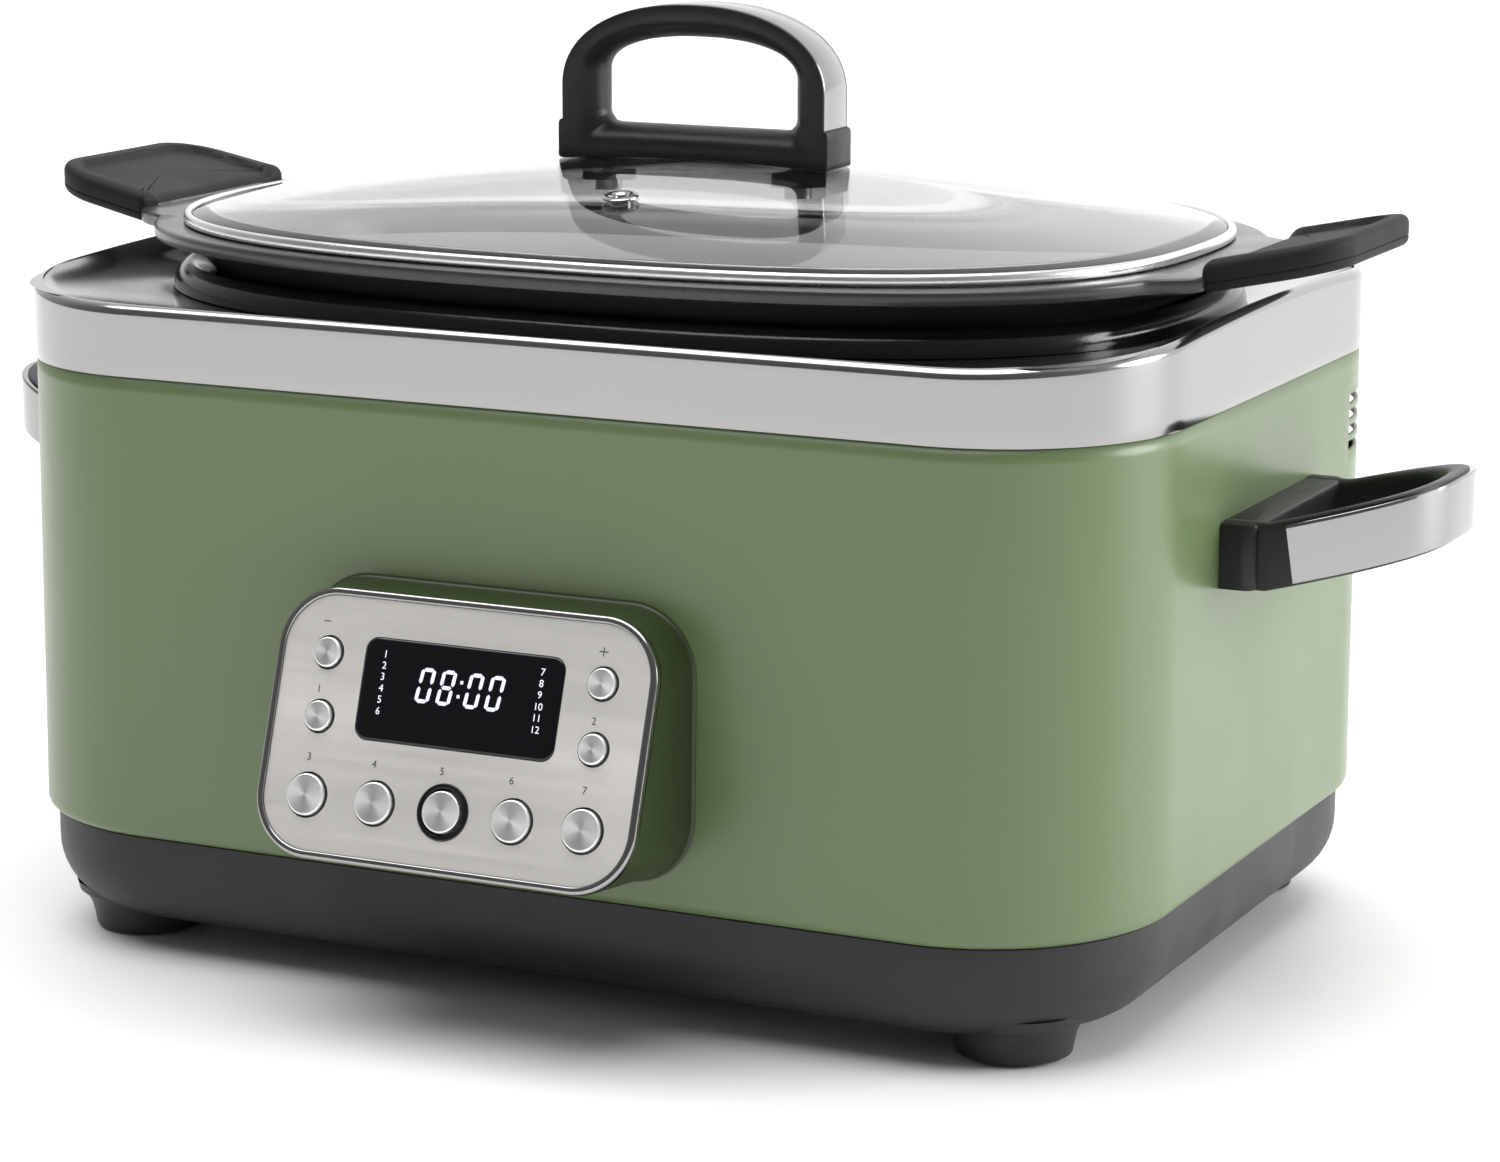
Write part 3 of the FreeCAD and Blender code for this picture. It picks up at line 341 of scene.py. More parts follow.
leg_profile = [
    (15.6, 1.0), (17.6, 1.0), (18.2, 1.3), (18.4, 2.0), (18.9, 5.0), (19.6, 8.0), (20.6, 10.4),
    (22.0, 12.2), (23.8, 13.6), (24.5, 16.5),
]
pads = [f"foot_pad_{end}_{side}" for end in ("front", "rear") for side in ("left", "right")]
for pad in pads:
    pad_low, pad_high = extent(pad)
    middle = (pad_low + pad_high) / 2 * [1, 1, 0]
    base_parts.append(skin(turned(leg_profile, middle), start_cap=True))
piece("base_moulding", base_parts, base_plastic, "base", ["base_shell"])
dress(pads, moulded("foot_rubber", (0.018, 0.018, 0.019), 0.70, grain=0.08))

# ---------------------------------------------------------------- works inside the base
# Screws, the power board with its parts, the flat cable up to the panel, and the tray
# that keeps heat off them. None of it shows until the pot is lifted out.

sheet_steel = finish_of("bare_sheet_steel", (0.50, 0.50, 0.51), 0.34, 1.0)
vary_roughness(sheet_steel, cloudy(sheet_steel, 45, 0.26, 0.44))
emboss(sheet_steel, cloudy(sheet_steel, 420, 0, 1), 0.05)
dress(["base_screws", "handle_screws", "well_posts", "heat_shield", "thermal_fuse"], sheet_steel)
dress(["heating_element", "heat_sink", "temperature_sensor"], sheet_steel)

board_green = moulded("circuit_board", (0.02, 0.11, 0.05), 0.38, grain=0.02)
dress(["power_board", "control_board"], board_green)
part_black = moulded("component_plastic", (0.025, 0.025, 0.028), 0.45)
dress(["power_transformer", "power_relay", "terminal_block", "display_module"], part_black)
dress(["tact_switches"], part_black)
dress(["control_ribbon"], moulded("ribbon_grey", (0.35, 0.36, 0.37), 0.5))

# ---------------------------------------------------------------- outer shell
# A wrap of sage green painted sheet, its lower edge rolled in over the base. Four
# slots a side are punched round the back corners, and the paint is smooth and satin.

sage_paint = finish_of(
    "sage_paint", (0.130, 0.187, 0.080), 0.36, Coat_Weight=0.25, Coat_Roughness=0.20
)
tint(sage_paint, cloudy(sage_paint, 5, 0.0, 1.0), (0.135, 0.192, 0.084))
vary_roughness(sage_paint, cloudy(sage_paint, 24, 0.32, 0.38))
emboss(sage_paint, cloudy(sage_paint, 260, 0, 1, 4.0), 0.010)

arc_steps, side_steps = 45, 40
fine = {"arc": arc_steps, "side": side_steps}
edge_roll = 4.0
slot_rows, slot_pitch, slot_bottom, slot_height, slot_sweep = 4, 5.3, 161.0, 3.4, 26
slot_edges = (
    slot_bottom + slot_pitch * np.arange(slot_rows)[:, None] + [0, slot_height]
).ravel()
levels = np.concatenate([
    np.linspace(shell_foot + edge_roll, slot_bottom, 26)[:-1],
    slot_edges,
    np.linspace(slot_edges[-1], shell_top, 4)[1:],
])
rows = [body_row(shell_foot, 8.0, shell_foot, **fine)]
rows += [
    body_row(shell_foot, edge_roll * (1 - math.sin(a)),
             shell_foot + edge_roll * (1 - math.cos(a)), **fine)
    for a in np.linspace(0, math.pi / 2, 8)[:-1]
]
first_level = len(rows)
rows += [body_row(z, **fine) for z in levels]
wrap = np.array(rows)
vertices, faces = skin(wrap)
columns = wrap.shape[1]
cell_row, cell_column = np.divmod(np.arange(len(faces)), columns)
slot_row = np.isin(cell_row - first_level, np.searchsorted(levels, slot_edges[::2]))
second_corner = arc_steps + side_steps
right_slot = cell_column < slot_sweep
left_slot = (cell_column >= second_corner + arc_steps - slot_sweep) & (
    cell_column < second_corner + arc_steps
)
kept = ~(slot_row & (right_slot | left_slot))
faces = [face for face, keep in zip(faces, kept) if keep]
shell = piece(
    "painted_shell", [(vertices, faces)], sage_paint, "base", ["outer_shell"]
)
sheet = shell.modifiers.new("sheet_thickness", "SOLIDIFY")
sheet.thickness = 1.2 * millimetre
sheet.offset = -1.0

gland_plastic = moulded("gland_plastic", (0.020, 0.020, 0.021), 0.42)
dress(["cord_gland"], gland_plastic)

# ---------------------------------------------------------------- steel top trim
# A pressed band of polished steel. Its outer wall follows the body, its top edge rolls
# over and is highest at the two ends, and inside that the top dips to an oval hole.

bright_steel = finish_of("polished_steel", (0.375, 0.372, 0.368), 0.13, 1.0)
vary_roughness(bright_steel, cloudy(bright_steel, 18, 0.11, 0.17))
emboss(bright_steel, cloudy(bright_steel, 8, 0, 1, 1.0), 0.03)

ring_power = 2.6


def oval_row(half_x, half_y, z, power=ring_power, turn=None):
    """Row of |x / a| ** n + |y / b| ** n = 1; turn holds angles before stretching."""
    if turn is None:
        turn = np.arange(256) * 2 * math.pi / 256
    cos, sin = np.cos(turn), np.sin(turn)
    size = (np.abs(cos) ** power + np.abs(sin) ** power) ** (-1 / power)
    height = np.broadcast_to(np.asarray(z, float), turn.shape)
    return np.column_stack([half_x * size * cos, half_y * size * sin, height])


def ovals(profile, power=ring_power):
    """Rows of ovals, one for each (half_x, half_y, height)."""
    return np.array([oval_row(a, b, z, power) for a, b, z in profile])


trim_low, trim_high = extent("top_trim")
proud, trim_wall, trim_roll = 0.5, 2.0, 3.2
crown_drop, crown_reach = 5.5, 138.0
dip_x, dip_y, dip_height = 181.0, 128.0, 213.6
wall_path = body_row(shell_top, -proud, **fine)
crown = trim_high[2] - crown_drop * (wall_path[:, 1] / crown_reach) ** 2
wall_turn = np.arctan2(wall_path[:, 1] / top_half_depth, wall_path[:, 0] / half_length)
trim_foot = trim_low[2]
rows = [
    body_row(shell_top, trim_wall, trim_foot + 10, **fine),
    body_row(shell_top, trim_wall, trim_foot, **fine),
    body_row(shell_top, 0.2 - proud, trim_foot, **fine),
    body_row(shell_top, -proud, trim_foot + 0.4, **fine),
]
rows += [
    body_row(
        shell_top, -proud, trim_foot + 0.4 + share * (crown - trim_roll - trim_foot - 0.4), **fine
    )
    for share in np.linspace(0, 1, 7)[1:]
]
rows += [
    body_row(shell_top, trim_roll * (1 - math.cos(a)) - proud,
             crown - trim_roll * (1 - math.sin(a)), **fine)
    for a in np.linspace(0, math.pi / 2, 9)[1:]
]
lip_x, lip_y = half_length - trim_roll + proud, top_half_depth - trim_roll + proud
for share in np.linspace(0, 1, 20)[1:]:
    rows.append(oval_row(
        lip_x + share * (dip_x - lip_x), lip_y + share * (dip_y - lip_y),
        crown + share ** 1.15 * (dip_height - crown),
        ring_power + 6.4 * (1 - share) ** 1.6, wall_turn,
    ))
rows.append(oval_row(176.0, 123.2, 213.3, ring_power, wall_turn))
rows.append(oval_row(175.2, 122.5, 212.6, ring_power, wall_turn))
rows.append(oval_row(175.0, 122.3, 209.0, ring_power, wall_turn))
piece("steel_trim", [skin(np.array(rows))], bright_steel, "base", ["top_trim"])

# ---------------------------------------------------------------- collar, well and plate
# A glossy black ring covers the joint between the steel top and the heating well. The
# well is deep drawn from thin sheet, and a cast plate fills the middle of its floor.

collar_black = moulded("glossy_collar_black", (0.005, 0.005, 0.006), 0.14, grain=0.01)
collar_profile = [
    (174.6, 121.9, 198.8), (174.6, 121.9, 213.4), (179.6, 126.6, 213.5), (180.0, 127.0, 213.9),
    (180.0, 127.0, 215.2), (179.7, 126.7, 217.0), (179.1, 126.1, 218.7), (177.9, 124.9, 220.3),
    (176.5, 123.5, 221.4), (175.2, 122.2, 221.9), (174.2, 121.2, 221.9), (172.4, 119.4, 221.2),
    (170.5, 117.5, 219.4), (169.1, 116.1, 216.8), (168.5, 115.5, 214.0), (168.5, 115.5, 199.0),
]
piece(
    "well_collar_ring", [skin(ovals(collar_profile), looped=True)], collar_black, "base",
    ["well_collar"],
)
well_metal = finish_of("well_liner_steel", (0.42, 0.42, 0.43), 0.36, 1.0)
vary_roughness(well_metal, cloudy(well_metal, 6, 0.30, 0.46, stretch=(1, 1, 7)))
emboss(well_metal, cloudy(well_metal, 300, 0, 1), 0.03)
dress(["heating_well"], well_metal)
cast_metal = finish_of("cast_plate", (0.33, 0.33, 0.335), 0.48, 1.0)
vary_roughness(cast_metal, cloudy(cast_metal, 90, 0.42, 0.58))
emboss(cast_metal, cloudy(cast_metal, 700, 0, 1), 0.12)
dress(["heating_plate"], cast_metal)

# ---------------------------------------------------------------- control pod
# A housing that leans the panel back, in the body's sage paint made much darker as painted shade.
# It narrows to the bezel at its front and meets the body in a tight fillet.

panel_middle = np.array([0.0, -173.9, 97.85])
lean = math.radians(18.7)
panel_right = np.array([1.0, 0.0, 0.0])
panel_up = np.array([0.0, math.sin(lean), math.cos(lean)])
panel_out = np.array([0.0, -math.cos(lean), math.sin(lean)])
panel_half, panel_corner = (66.2, 42.5), 20.0


def on_panel(points):
    """Points drawn flat (right, up, outward), set on the leaning panel."""
    right, up, out = np.moveaxis(np.asarray(points, float), -1, 0)[..., None]
    return panel_middle + right * panel_right + up * panel_up + out * panel_out


def panel_row(inset, out, half=panel_half, corner=panel_corner, middle=(0.0, 0.0)):
    """A rounded rectangle on the panel, drawn in by inset, at a height off its face."""
    flat = box_row(*half, corner, out, inset)
    return on_panel(flat + [*middle, 0])


bezel_depth = 3.2
pod_front = panel_row(0.0, -bezel_depth)
rear_centre, rear_normal, rear_radius = corner_path(67.2, 43.6, 21.5)
rear = rear_centre + rear_radius[:, None] * rear_normal
pod_rear = np.column_stack([rear[:, 0], np.full(len(rear), -137.0), 94.6 + rear[:, 1]])
flare = 1.2
wall_lean = (foot_half_depth - top_half_depth) / (shell_top - shell_foot)
rows = [panel_row(2.5, -bezel_depth), panel_row(0.25, -bezel_depth)]
standoff = [("straight", share) for share in np.linspace(0.0, 1.0, 9)]
standoff += [("flared", angle) for angle in np.linspace(0, math.pi / 2, 9)[1:]]
for stage, value in standoff:
    wall = -foot_half_depth + wall_lean * (pod_rear[:, 2] - shell_foot)
    depth = wall - pod_front[:, 1]
    if stage == "straight":
        gap, spread = depth - value * (depth - flare), 0.0
    else:
        gap, spread = flare * (1 - math.sin(value)), flare * (1 - math.cos(value))
    share = ((wall - gap - pod_front[:, 1]) / (pod_rear[:, 1] - pod_front[:, 1]))[:, None]
    row = pod_front + share * (pod_rear - pod_front)
    row = row + spread * np.column_stack([rear_normal[:, 0], 0 * depth, rear_normal[:, 1]])
    row[:, 1] = -foot_half_depth + wall_lean * (row[:, 2] - shell_foot) - gap
    rows.append(row)
rows.append(rows[-1] + [0, 1.0, 0])
# Painted shade: the pod's green is the body's sage darkened to stand for the shade on its sides and
# top.
pod_paint_painted_shade = finish_of("pod_green_painted_shade", (0.034, 0.052, 0.018), 0.40)
tint(pod_paint_painted_shade, cloudy(pod_paint_painted_shade, 5, 0.0, 1.0), (0.037, 0.056, 0.020))
vary_roughness(pod_paint_painted_shade, cloudy(pod_paint_painted_shade, 24, 0.38, 0.43))
emboss(pod_paint_painted_shade, cloudy(pod_paint_painted_shade, 260, 0, 1, 4.0), 0.010)
piece("panel_pod", [skin(np.array(rows)[::-1])], pod_paint_painted_shade, "base", ["control_pod"])

# ---------------------------------------------------------------- bezel, fascia, display
# A polished ring holds a brushed steel fascia, a hair's breadth of shadow between them.
# The display is a black glass pane with a lit clock between hour numbers. The keys are
# numbered plainly, and the two that step a value carry a plus and a minus sign.

bezel_profile = [
    (0.25, -3.2), (0.0, -2.9), (0.0, -1.1), (0.08, -0.72), (0.32, -0.32), (0.7, -0.08),
    (1.1, 0.0), (1.9, 0.0), (2.2, -0.08), (2.36, -0.25), (2.4, -0.5), (2.4, -3.2),
]
bezel_rows = np.array([panel_row(inset, out) for inset, out in bezel_profile])
piece("bezel_ring", [skin(bezel_rows, looped=True)], bright_steel, "base",
      ["panel_bezel"])

brushed_steel = finish_of("brushed_fascia", (0.93, 0.905, 0.875), 0.52, 1.0, Anisotropic=0.2)
brush = cloudy(brushed_steel, 240, 0.50, 0.56, 4.0, stretch=(0.04, 1.0, 1.0))
vary_roughness(brushed_steel, brush)
tint(brushed_steel, cloudy(brushed_steel, 300, 0, 1, 3.0, (0.03, 1, 1)), (0.95, 0.925, 0.895))
emboss(brushed_steel, cloudy(brushed_steel, 500, 0, 1, 2.0, (0.03, 1, 1)), 0.010)
dress(["panel_fascia"], brushed_steel)

window_half, window_corner, window_middle = (34.85, 16.0), 4.35, (0.0, 12.25)
pane_glass = finish_of("display_glass", (0.002, 0.002, 0.004), 0.05)
vary_roughness(pane_glass, cloudy(pane_glass, 60, 0.04, 0.08))
window_profile = [(0.0, -2.2), (0.0, -0.95), (0.12, -0.7), (0.5, -0.5), (0.9, -0.42), (1.4, -0.4)]
rows = np.array([
    panel_row(inset, out, window_half, window_corner, window_middle)
    for inset, out in window_profile
])
piece("display_pane", [skin(rows, end_cap=True)], pane_glass, "base",
      ["display_window"])


def numerals(entries, height, out):
    """Flat plain numbers on the panel, one part for each (text, right, up)."""
    parts = []
    for text, right, up in entries:
        curve = bpy.data.curves.new("numeral", "FONT")
        curve.body = text
        curve.align_x = "CENTER"
        curve.resolution_u = 4
        drawn = bpy.data.objects.new("numeral", curve)
        scene.collection.objects.link(drawn)
        bpy.context.view_layer.update()
        flat = bpy.data.meshes.new_from_object(
            drawn.evaluated_get(bpy.context.evaluated_depsgraph_get())
        )
        points = np.array([vertex.co for vertex in flat.vertices], float).reshape(-1, 3)
        faces = [list(polygon.vertices) for polygon in flat.polygons]
        bpy.data.objects.remove(drawn)
        bpy.data.curves.remove(curve)
        bpy.data.meshes.remove(flat)
        points = points * [1, 1, 0] * height / points[:, 1].max()
        parts.append((on_panel(points + [right, up, out]), faces))
    return parts


dark_print = moulded("dark_print", (0.008, 0.008, 0.008), 0.6)
key_numbers = [
    ("1", -49.5, 9.2), ("2", 46.8, 9.2), ("3", -49.4, -12.1), ("4", -26.1, -12.0),
    ("5", -2.2, -11.6), ("6", 22.0, -11.7), ("7", 47.0, -11.9),
]
print_height = -0.8 + 0.03
key_parts = numerals(key_numbers, 2.3, print_height)


def bar(right, up, half_right, half_up, out, slant=0.0):
    """A flat bar on the panel."""
    corners = np.array([(-1, -1), (1, -1), (1, 1), (-1, 1)]) * [half_right, half_up]
    points = np.column_stack([
        right + corners[:, 0] + slant * corners[:, 1], up + corners[:, 1], np.full(4, out)
    ])
    return on_panel(points), [[0, 1, 2, 3]]


key_parts.append(bar(-50.0, 31.5, 1.25, 0.16, print_height))
key_parts.append(bar(46.8, 31.5, 1.55, 0.16, print_height))
key_parts.append(bar(46.8, 32.25, 0.16, 0.66, print_height))
key_parts.append(bar(46.8, 30.75, 0.16, 0.66, print_height))
piece("panel_numbers", key_parts, dark_print, "base")


def glowing(name, colour, strength):
    material = finish_of(name, colour, 0.5)
    shader = material.node_tree.nodes["Principled BSDF"]
    shader.inputs["Emission Color"].default_value = (*colour, 1.0)
    shader.inputs["Emission Strength"].default_value = strength
    vary_roughness(material, cloudy(material, 80, 0.45, 0.55))
    return material


lit_print = glowing("lit_numbers", (0.72, 0.73, 0.82), 0.75)
lit_digits = glowing("lit_digits", (0.66, 0.67, 0.90), 0.72)
lit_height = -0.4 + 0.02
hour_lines = [22.2, 18.7, 15.2, 11.6, 8.1, 4.5]
hours = [(str(count + 1), -27.5, up) for count, up in enumerate(hour_lines)]
hours += [(str(count + 7), 27.5, up) for count, up in enumerate(hour_lines)]
piece("display_hours", numerals(hours, 2.2, lit_height), lit_print, "base")

digit_half_width, digit_half_height, digit_middle = 2.55, 5.5, 15.0
segment, slant = 0.60, 0.13
across, down = digit_half_width - segment, digit_half_height / 2
segment_places = {
    "a": (0, 2 * down - segment, True), "g": (0, 0, True), "d": (0, segment - 2 * down, True),
    "f": (-across, down, False), "b": (across, down, False),
    "e": (-across, -down, False), "c": (across, -down, False),
}


def segment_bar(right, up, lies_flat):
    """A bar with pointed ends, leaning like the rest of its digit."""
    half = (across if lies_flat else down - segment / 2) - 0.20
    outline = np.array([
        (-half, 0), (segment - half, -segment), (half - segment, -segment),
        (half, 0), (half - segment, segment), (segment - half, segment),
    ])
    if not lies_flat:
        outline = outline[:, ::-1] * [-1, 1]
    return outline + [right, up]


digit_parts = [bar(slant * up, digit_middle + up, 0.5, 0.5, lit_height) for up in (-2.2, 2.2)]
for place, lit in zip((-12.2, -4.8, 4.8, 12.2), ("abcdef", "abcdefg", "abcdef", "abcdef")):
    for name in lit:
        flat = segment_bar(*segment_places[name])
        flat = np.column_stack([
            flat[:, 0] + slant * flat[:, 1] + place, flat[:, 1] + digit_middle,
            np.full(len(flat), lit_height),
        ])
        digit_parts.append((on_panel(flat), [list(range(len(flat)))]))
piece("display_digits", digit_parts, lit_digits, "base")

# ---------------------------------------------------------------- the nine buttons
# Turned metal caps, each with a fine spun face, stand just proud of their holes on black
# plastic stems, each a little wider than its cap so the gap round the cap shows black as painted
# shade. The start button sits inside a raised black ring. Each is its own body.

spun_metal = finish_of("spun_button_metal", (0.96, 0.955, 0.945), 0.42, 1.0, Anisotropic=0.6)
tree = spun_metal.node_tree
round_face = tree.nodes.new("ShaderNodeTangent")
round_face.direction_type = "UV_MAP"
round_face.uv_map = "spin"
tree.links.new(round_face.outputs["Tangent"], tree.nodes["Principled BSDF"].inputs["Tangent"])
vary_roughness(spun_metal, cloudy(spun_metal, 120, 0.39, 0.46))

buttons = sorted(name for name in nodes if name.startswith("button_"))
spin_steps = 64
angle = np.arange(spin_steps) * 2 * math.pi / spin_steps
for name in buttons:
    button_low, button_high = extent(name)
    middle = ((button_low + button_high) / 2)
    radius = (button_high[0] - button_low[0]) / 2 - 1.6
    right = middle[0]
    up = {True: -22.9, False: 21.8 if middle[2] > 108 else 1.8}[radius > 6]
    # Each stem is wider than its cap: its black fills the gap round the cap as painted shade.
    stem_and_gap_shade_profile = [(radius + 0.3, -7.4), (radius + 0.3, -1.1), (radius - 0.3, -0.8)]
    stem_and_gap_shade = turned(stem_and_gap_shade_profile, (right, up, 0), spin_steps)
    piece(f"{name}_stem", [skin(on_panel(stem_and_gap_shade), start_cap=True, end_cap=True)], part_black,
          f"{name}_cap")
    profile = [
        (radius - 0.6, -0.75), (radius, -0.6), (radius, 0.35), (radius - 0.08, 0.62),
        (radius - 0.28, 0.82),
        (radius - 0.55, 0.9), (radius - 0.9, 0.88), (radius * 0.6, 0.80), (radius * 0.25, 0.74),
        (0.15, 0.72),
    ]
    flat = turned(profile, (right, up, 0), spin_steps)
    cap = piece(
        f"{name}_cap_metal", [skin(on_panel(flat), start_cap=True, end_cap=True)], spun_metal,
        f"{name}_cap", [name],
    )
    mesh = cap.data
    corners = np.zeros(len(mesh.loops), int)
    mesh.loops.foreach_get("vertex_index", corners)
    points = np.zeros(len(mesh.vertices) * 3)
    mesh.vertices.foreach_get("co", points)
    offset = points.reshape(-1, 3) / millimetre - [0, body_y, 0] - panel_middle
    flat_x, flat_y = offset @ panel_right - right, offset @ panel_up - up
    spoke = np.arctan2(flat_y, flat_x)[corners]
    totals = np.zeros(len(mesh.polygons), int)
    mesh.polygons.foreach_get("loop_total", totals)
    face_of = np.repeat(np.arange(len(totals)), totals)
    starts = np.cumsum(totals) - totals
    lead = spoke[starts][face_of]
    spoke = lead + (spoke - lead + math.pi) % (2 * math.pi) - math.pi
    spin = mesh.uv_layers.new(name="spin")
    distance = np.hypot(flat_x, flat_y)[corners]
    spin.data.foreach_set("uv", np.column_stack([spoke * 4, distance]).ravel())

ring_profile = [
    (8.8, -2.2), (8.8, -0.7), (8.65, -0.45), (8.4, -0.38), (7.7, -0.38), (7.4, -0.5),
    (7.25, -0.8), (7.25, -2.2),
]
ring = on_panel(turned(ring_profile, (0.0, -22.9, 0.0)))
piece("start_ring", [skin(ring, looped=True)], collar_black, "base",
      ["start_button_ring"])

# ---------------------------------------------------------------- side handles
# A black moulding is screwed to each end of the body. Its loop runs out in a flattened
# D, climbs as it goes, and carries a bright strip let into its outer face.

handle_black = moulded("handle_black", (0.010, 0.010, 0.011), 0.38, Specular_IOR_Level=0.36)
handle_power, handle_half = 2.8, 45.0
handle_foot, handle_reach, top = 138.5, 64.0, 21.0
climb, climb_from = 0.27, 14.0
handle_thick, strip_thick, strip_from = 9.0, 2.0, 22.0


def loop_point(turn, inset):
    """Plan of the flattened D at an angle, drawn in by inset, as (outward, y)."""
    cos, sin = np.maximum(np.cos(turn), 0.0), np.sin(turn)
    size = (cos ** handle_power + np.abs(sin) ** handle_power) ** (-1 / handle_power)
    return (handle_reach - inset) * size * cos, (handle_half - inset) * size * sin


def open_skin(grid):
    """Vertices and faces of a closed section carried along an open path, ends closed."""
    rows, columns, _ = grid.shape
    i, j = np.arange(rows)[:, None], np.arange(columns - 1)[None, :]
    above = (i + 1) % rows * columns
    quads = np.stack([i * columns + j, i * columns + j + 1, above + j + 1, above + j], -1)
    ends = np.arange(rows) * columns
    faces = quads.reshape(-1, 4).tolist()
    return grid.reshape(-1, 3), faces + [ends.tolist(), (ends[::-1] + columns - 1).tolist()]


def loop_skin(section, turns):
    """Carry a closed section of (inset, height) along the D; turns is rows by columns."""
    rows = []
    for (inset, height), turn in zip(section, turns):
        outward, y = loop_point(turn, inset)
        rise = climb * np.maximum(outward - climb_from, 0.0)
        rows.append(np.column_stack([half_length + outward, y, handle_foot + height + rise]))
    return open_skin(np.array(rows))


core_section = [
    (strip_thick, 1.2), (strip_thick, top - 1.2), (2.2, top - 0.4), (2.9, top),
    (5.0, top + 0.25), (6.9, top + 0.1), (8.1, top - 0.5), (8.8, top - 1.5),
    (handle_thick, top - 3.0), (handle_thick, 2.2), (8.7, 1.0), (7.8, 0.2), (6.5, 0.0),
    (2.9, 0.0), (2.2, 0.4),
]
strip_section = [
    (0.35, 1.0), (0.08, 1.35), (0.0, 2.2), (0.0, top - 2.2), (0.08, top - 1.35),
    (0.35, top - 1.0), (strip_thick + 0.1, top - 1.0), (strip_thick + 0.1, 1.0),
]
turn_list = np.linspace(-math.pi / 2, math.pi / 2, 4001)
outward_list = loop_point(turn_list, 0.0)[0]


def strip_turns(height):
    """Angles along the strip, which starts nearer the body at its foot."""
    first = np.interp(strip_from + 1.6 - 3.0 * height / top, outward_list[:2001], turn_list[:2001])
    return np.linspace(first, -first, 97)


core_turns = np.tile(np.linspace(-math.pi / 2, math.pi / 2, 129), (len(core_section), 1))
strip_rows = [strip_turns(height) for _, height in strip_section]
plate_depth, plate_half = 12.0, 46.0


def plate_row(z, inset):
    row = box_row(9.0, plate_half, (5.0, 1.0, 1.0, 5.0), z, inset)
    return row + [half_length + plate_depth - 9.0, 0, 0]


plate_rows = np.array([
    plate_row(handle_foot, 1.2), plate_row(handle_foot + 0.3, 0.4),
    plate_row(handle_foot + 1.2, 0.0), plate_row(handle_foot + top - 1.6, 0.0),
    plate_row(handle_foot + top - 0.5, 0.5), plate_row(handle_foot + top, 1.6),
])
right_bracket = [
    loop_skin(core_section, core_turns), skin(plate_rows, start_cap=True, end_cap=True)
]
right_strip = [loop_skin(strip_section, strip_rows)]


def mirrored(parts):
    """The left-hand twin of right-hand skins, its faces turned to look outward."""
    return [(v * [-1, 1, 1], [face[::-1] for face in f]) for v, f in parts]


for side, turned_over in (("right", lambda parts: parts), ("left", mirrored)):
    piece(f"{side}_handle_loop", turned_over(right_bracket), handle_black, "base",
          [f"{side}_handle_bracket"])
    piece(f"{side}_handle_strip", turned_over(right_strip), bright_steel, "base",
          [f"{side}_handle_trim"])

# ---------------------------------------------------------------- the cooking pot
# A dark coated pot with a wide flange. The flange swells into a tab at each end, which
# carries a silicone grip, and the inside of the pot is a paler coating.

pot_outside = finish_of("pot_dark_coating", (0.030, 0.030, 0.032), 0.30, Coat_Weight=0.2)
tint(pot_outside, cloudy(pot_outside, 12, 0, 1), (0.036, 0.036, 0.038))
vary_roughness(pot_outside, cloudy(pot_outside, 60, 0.27, 0.34))
emboss(pot_outside, cloudy(pot_outside, 900, 0, 1, 2.0), 0.004)

swell_start, swell_run, tab_edge = 58.0, 14.0, 193.4
tab_rise, tab_from = 0.21, 190.0


def flange_row(half_x, half_y, z):
    """An oval that swells into the tabs' roots near y = 0."""
    row = oval_row(half_x, half_y, z, turn=np.arange(384) * 2 * math.pi / 384)
    reach, side = np.abs(row[:, 0]), np.sign(row[:, 0])
    near = np.clip((swell_start - np.abs(row[:, 1])) / swell_run, 0, 1)
    near = near * near * (3 - 2 * near) * (reach > 100)
    flat = np.clip((half_x - 176.0) / 11.0, 0, 1)
    reach = reach + np.maximum(tab_edge - reach, 0) * near * flat
    row[:, 0] = side * reach
    row[:, 2] += tab_rise * np.maximum(reach - tab_from, 0)
    return row


pot_profile = [
    (148.0, 96.0, 128.0), (150.5, 98.5, 128.2), (153.6, 101.6, 129.3), (156.0, 104.0, 131.0),
    (157.7, 105.7, 134.0), (159.0, 107.0, 138.0), (160.3, 108.0, 158.0), (161.9, 109.2, 182.0),
    (163.5, 110.5, 205.0), (164.4, 111.4, 212.0), (165.6, 112.6, 217.0), (167.6, 114.2, 220.6),
    (170.4, 116.2, 223.3), (174.0, 119.2, 226.0), (178.4, 122.8, 228.2), (183.0, 126.4, 229.6),
    (185.4, 128.6, 230.0), (186.7, 129.7, 230.5), (187.0, 130.0, 231.3), (187.0, 130.0, 233.6),
    (186.8, 129.8, 234.3), (186.2, 129.2, 234.8), (185.2, 128.2, 235.0), (173.5, 119.5, 235.0),
    (171.8, 117.8, 234.7), (170.4, 116.3, 233.4), (168.9, 114.6, 230.3), (167.0, 112.5, 226.0),
    (164.8, 111.0, 222.5), (162.5, 109.5, 218.0), (161.4, 108.5, 212.0), (160.5, 107.5, 205.0),
    (158.8, 106.2, 178.0), (157.2, 105.0, 152.0), (156.0, 104.0, 141.0), (154.9, 102.9, 136.6),
    (152.5, 100.5, 133.5), (149.8, 97.8, 131.8), (147.0, 95.0, 131.0),
]
rows = np.array([flange_row(*line) for line in pot_profile])
inside_from = 27
pot_parts = [skin(rows[: inside_from + 1], start_cap=True)]
tab_rows = []
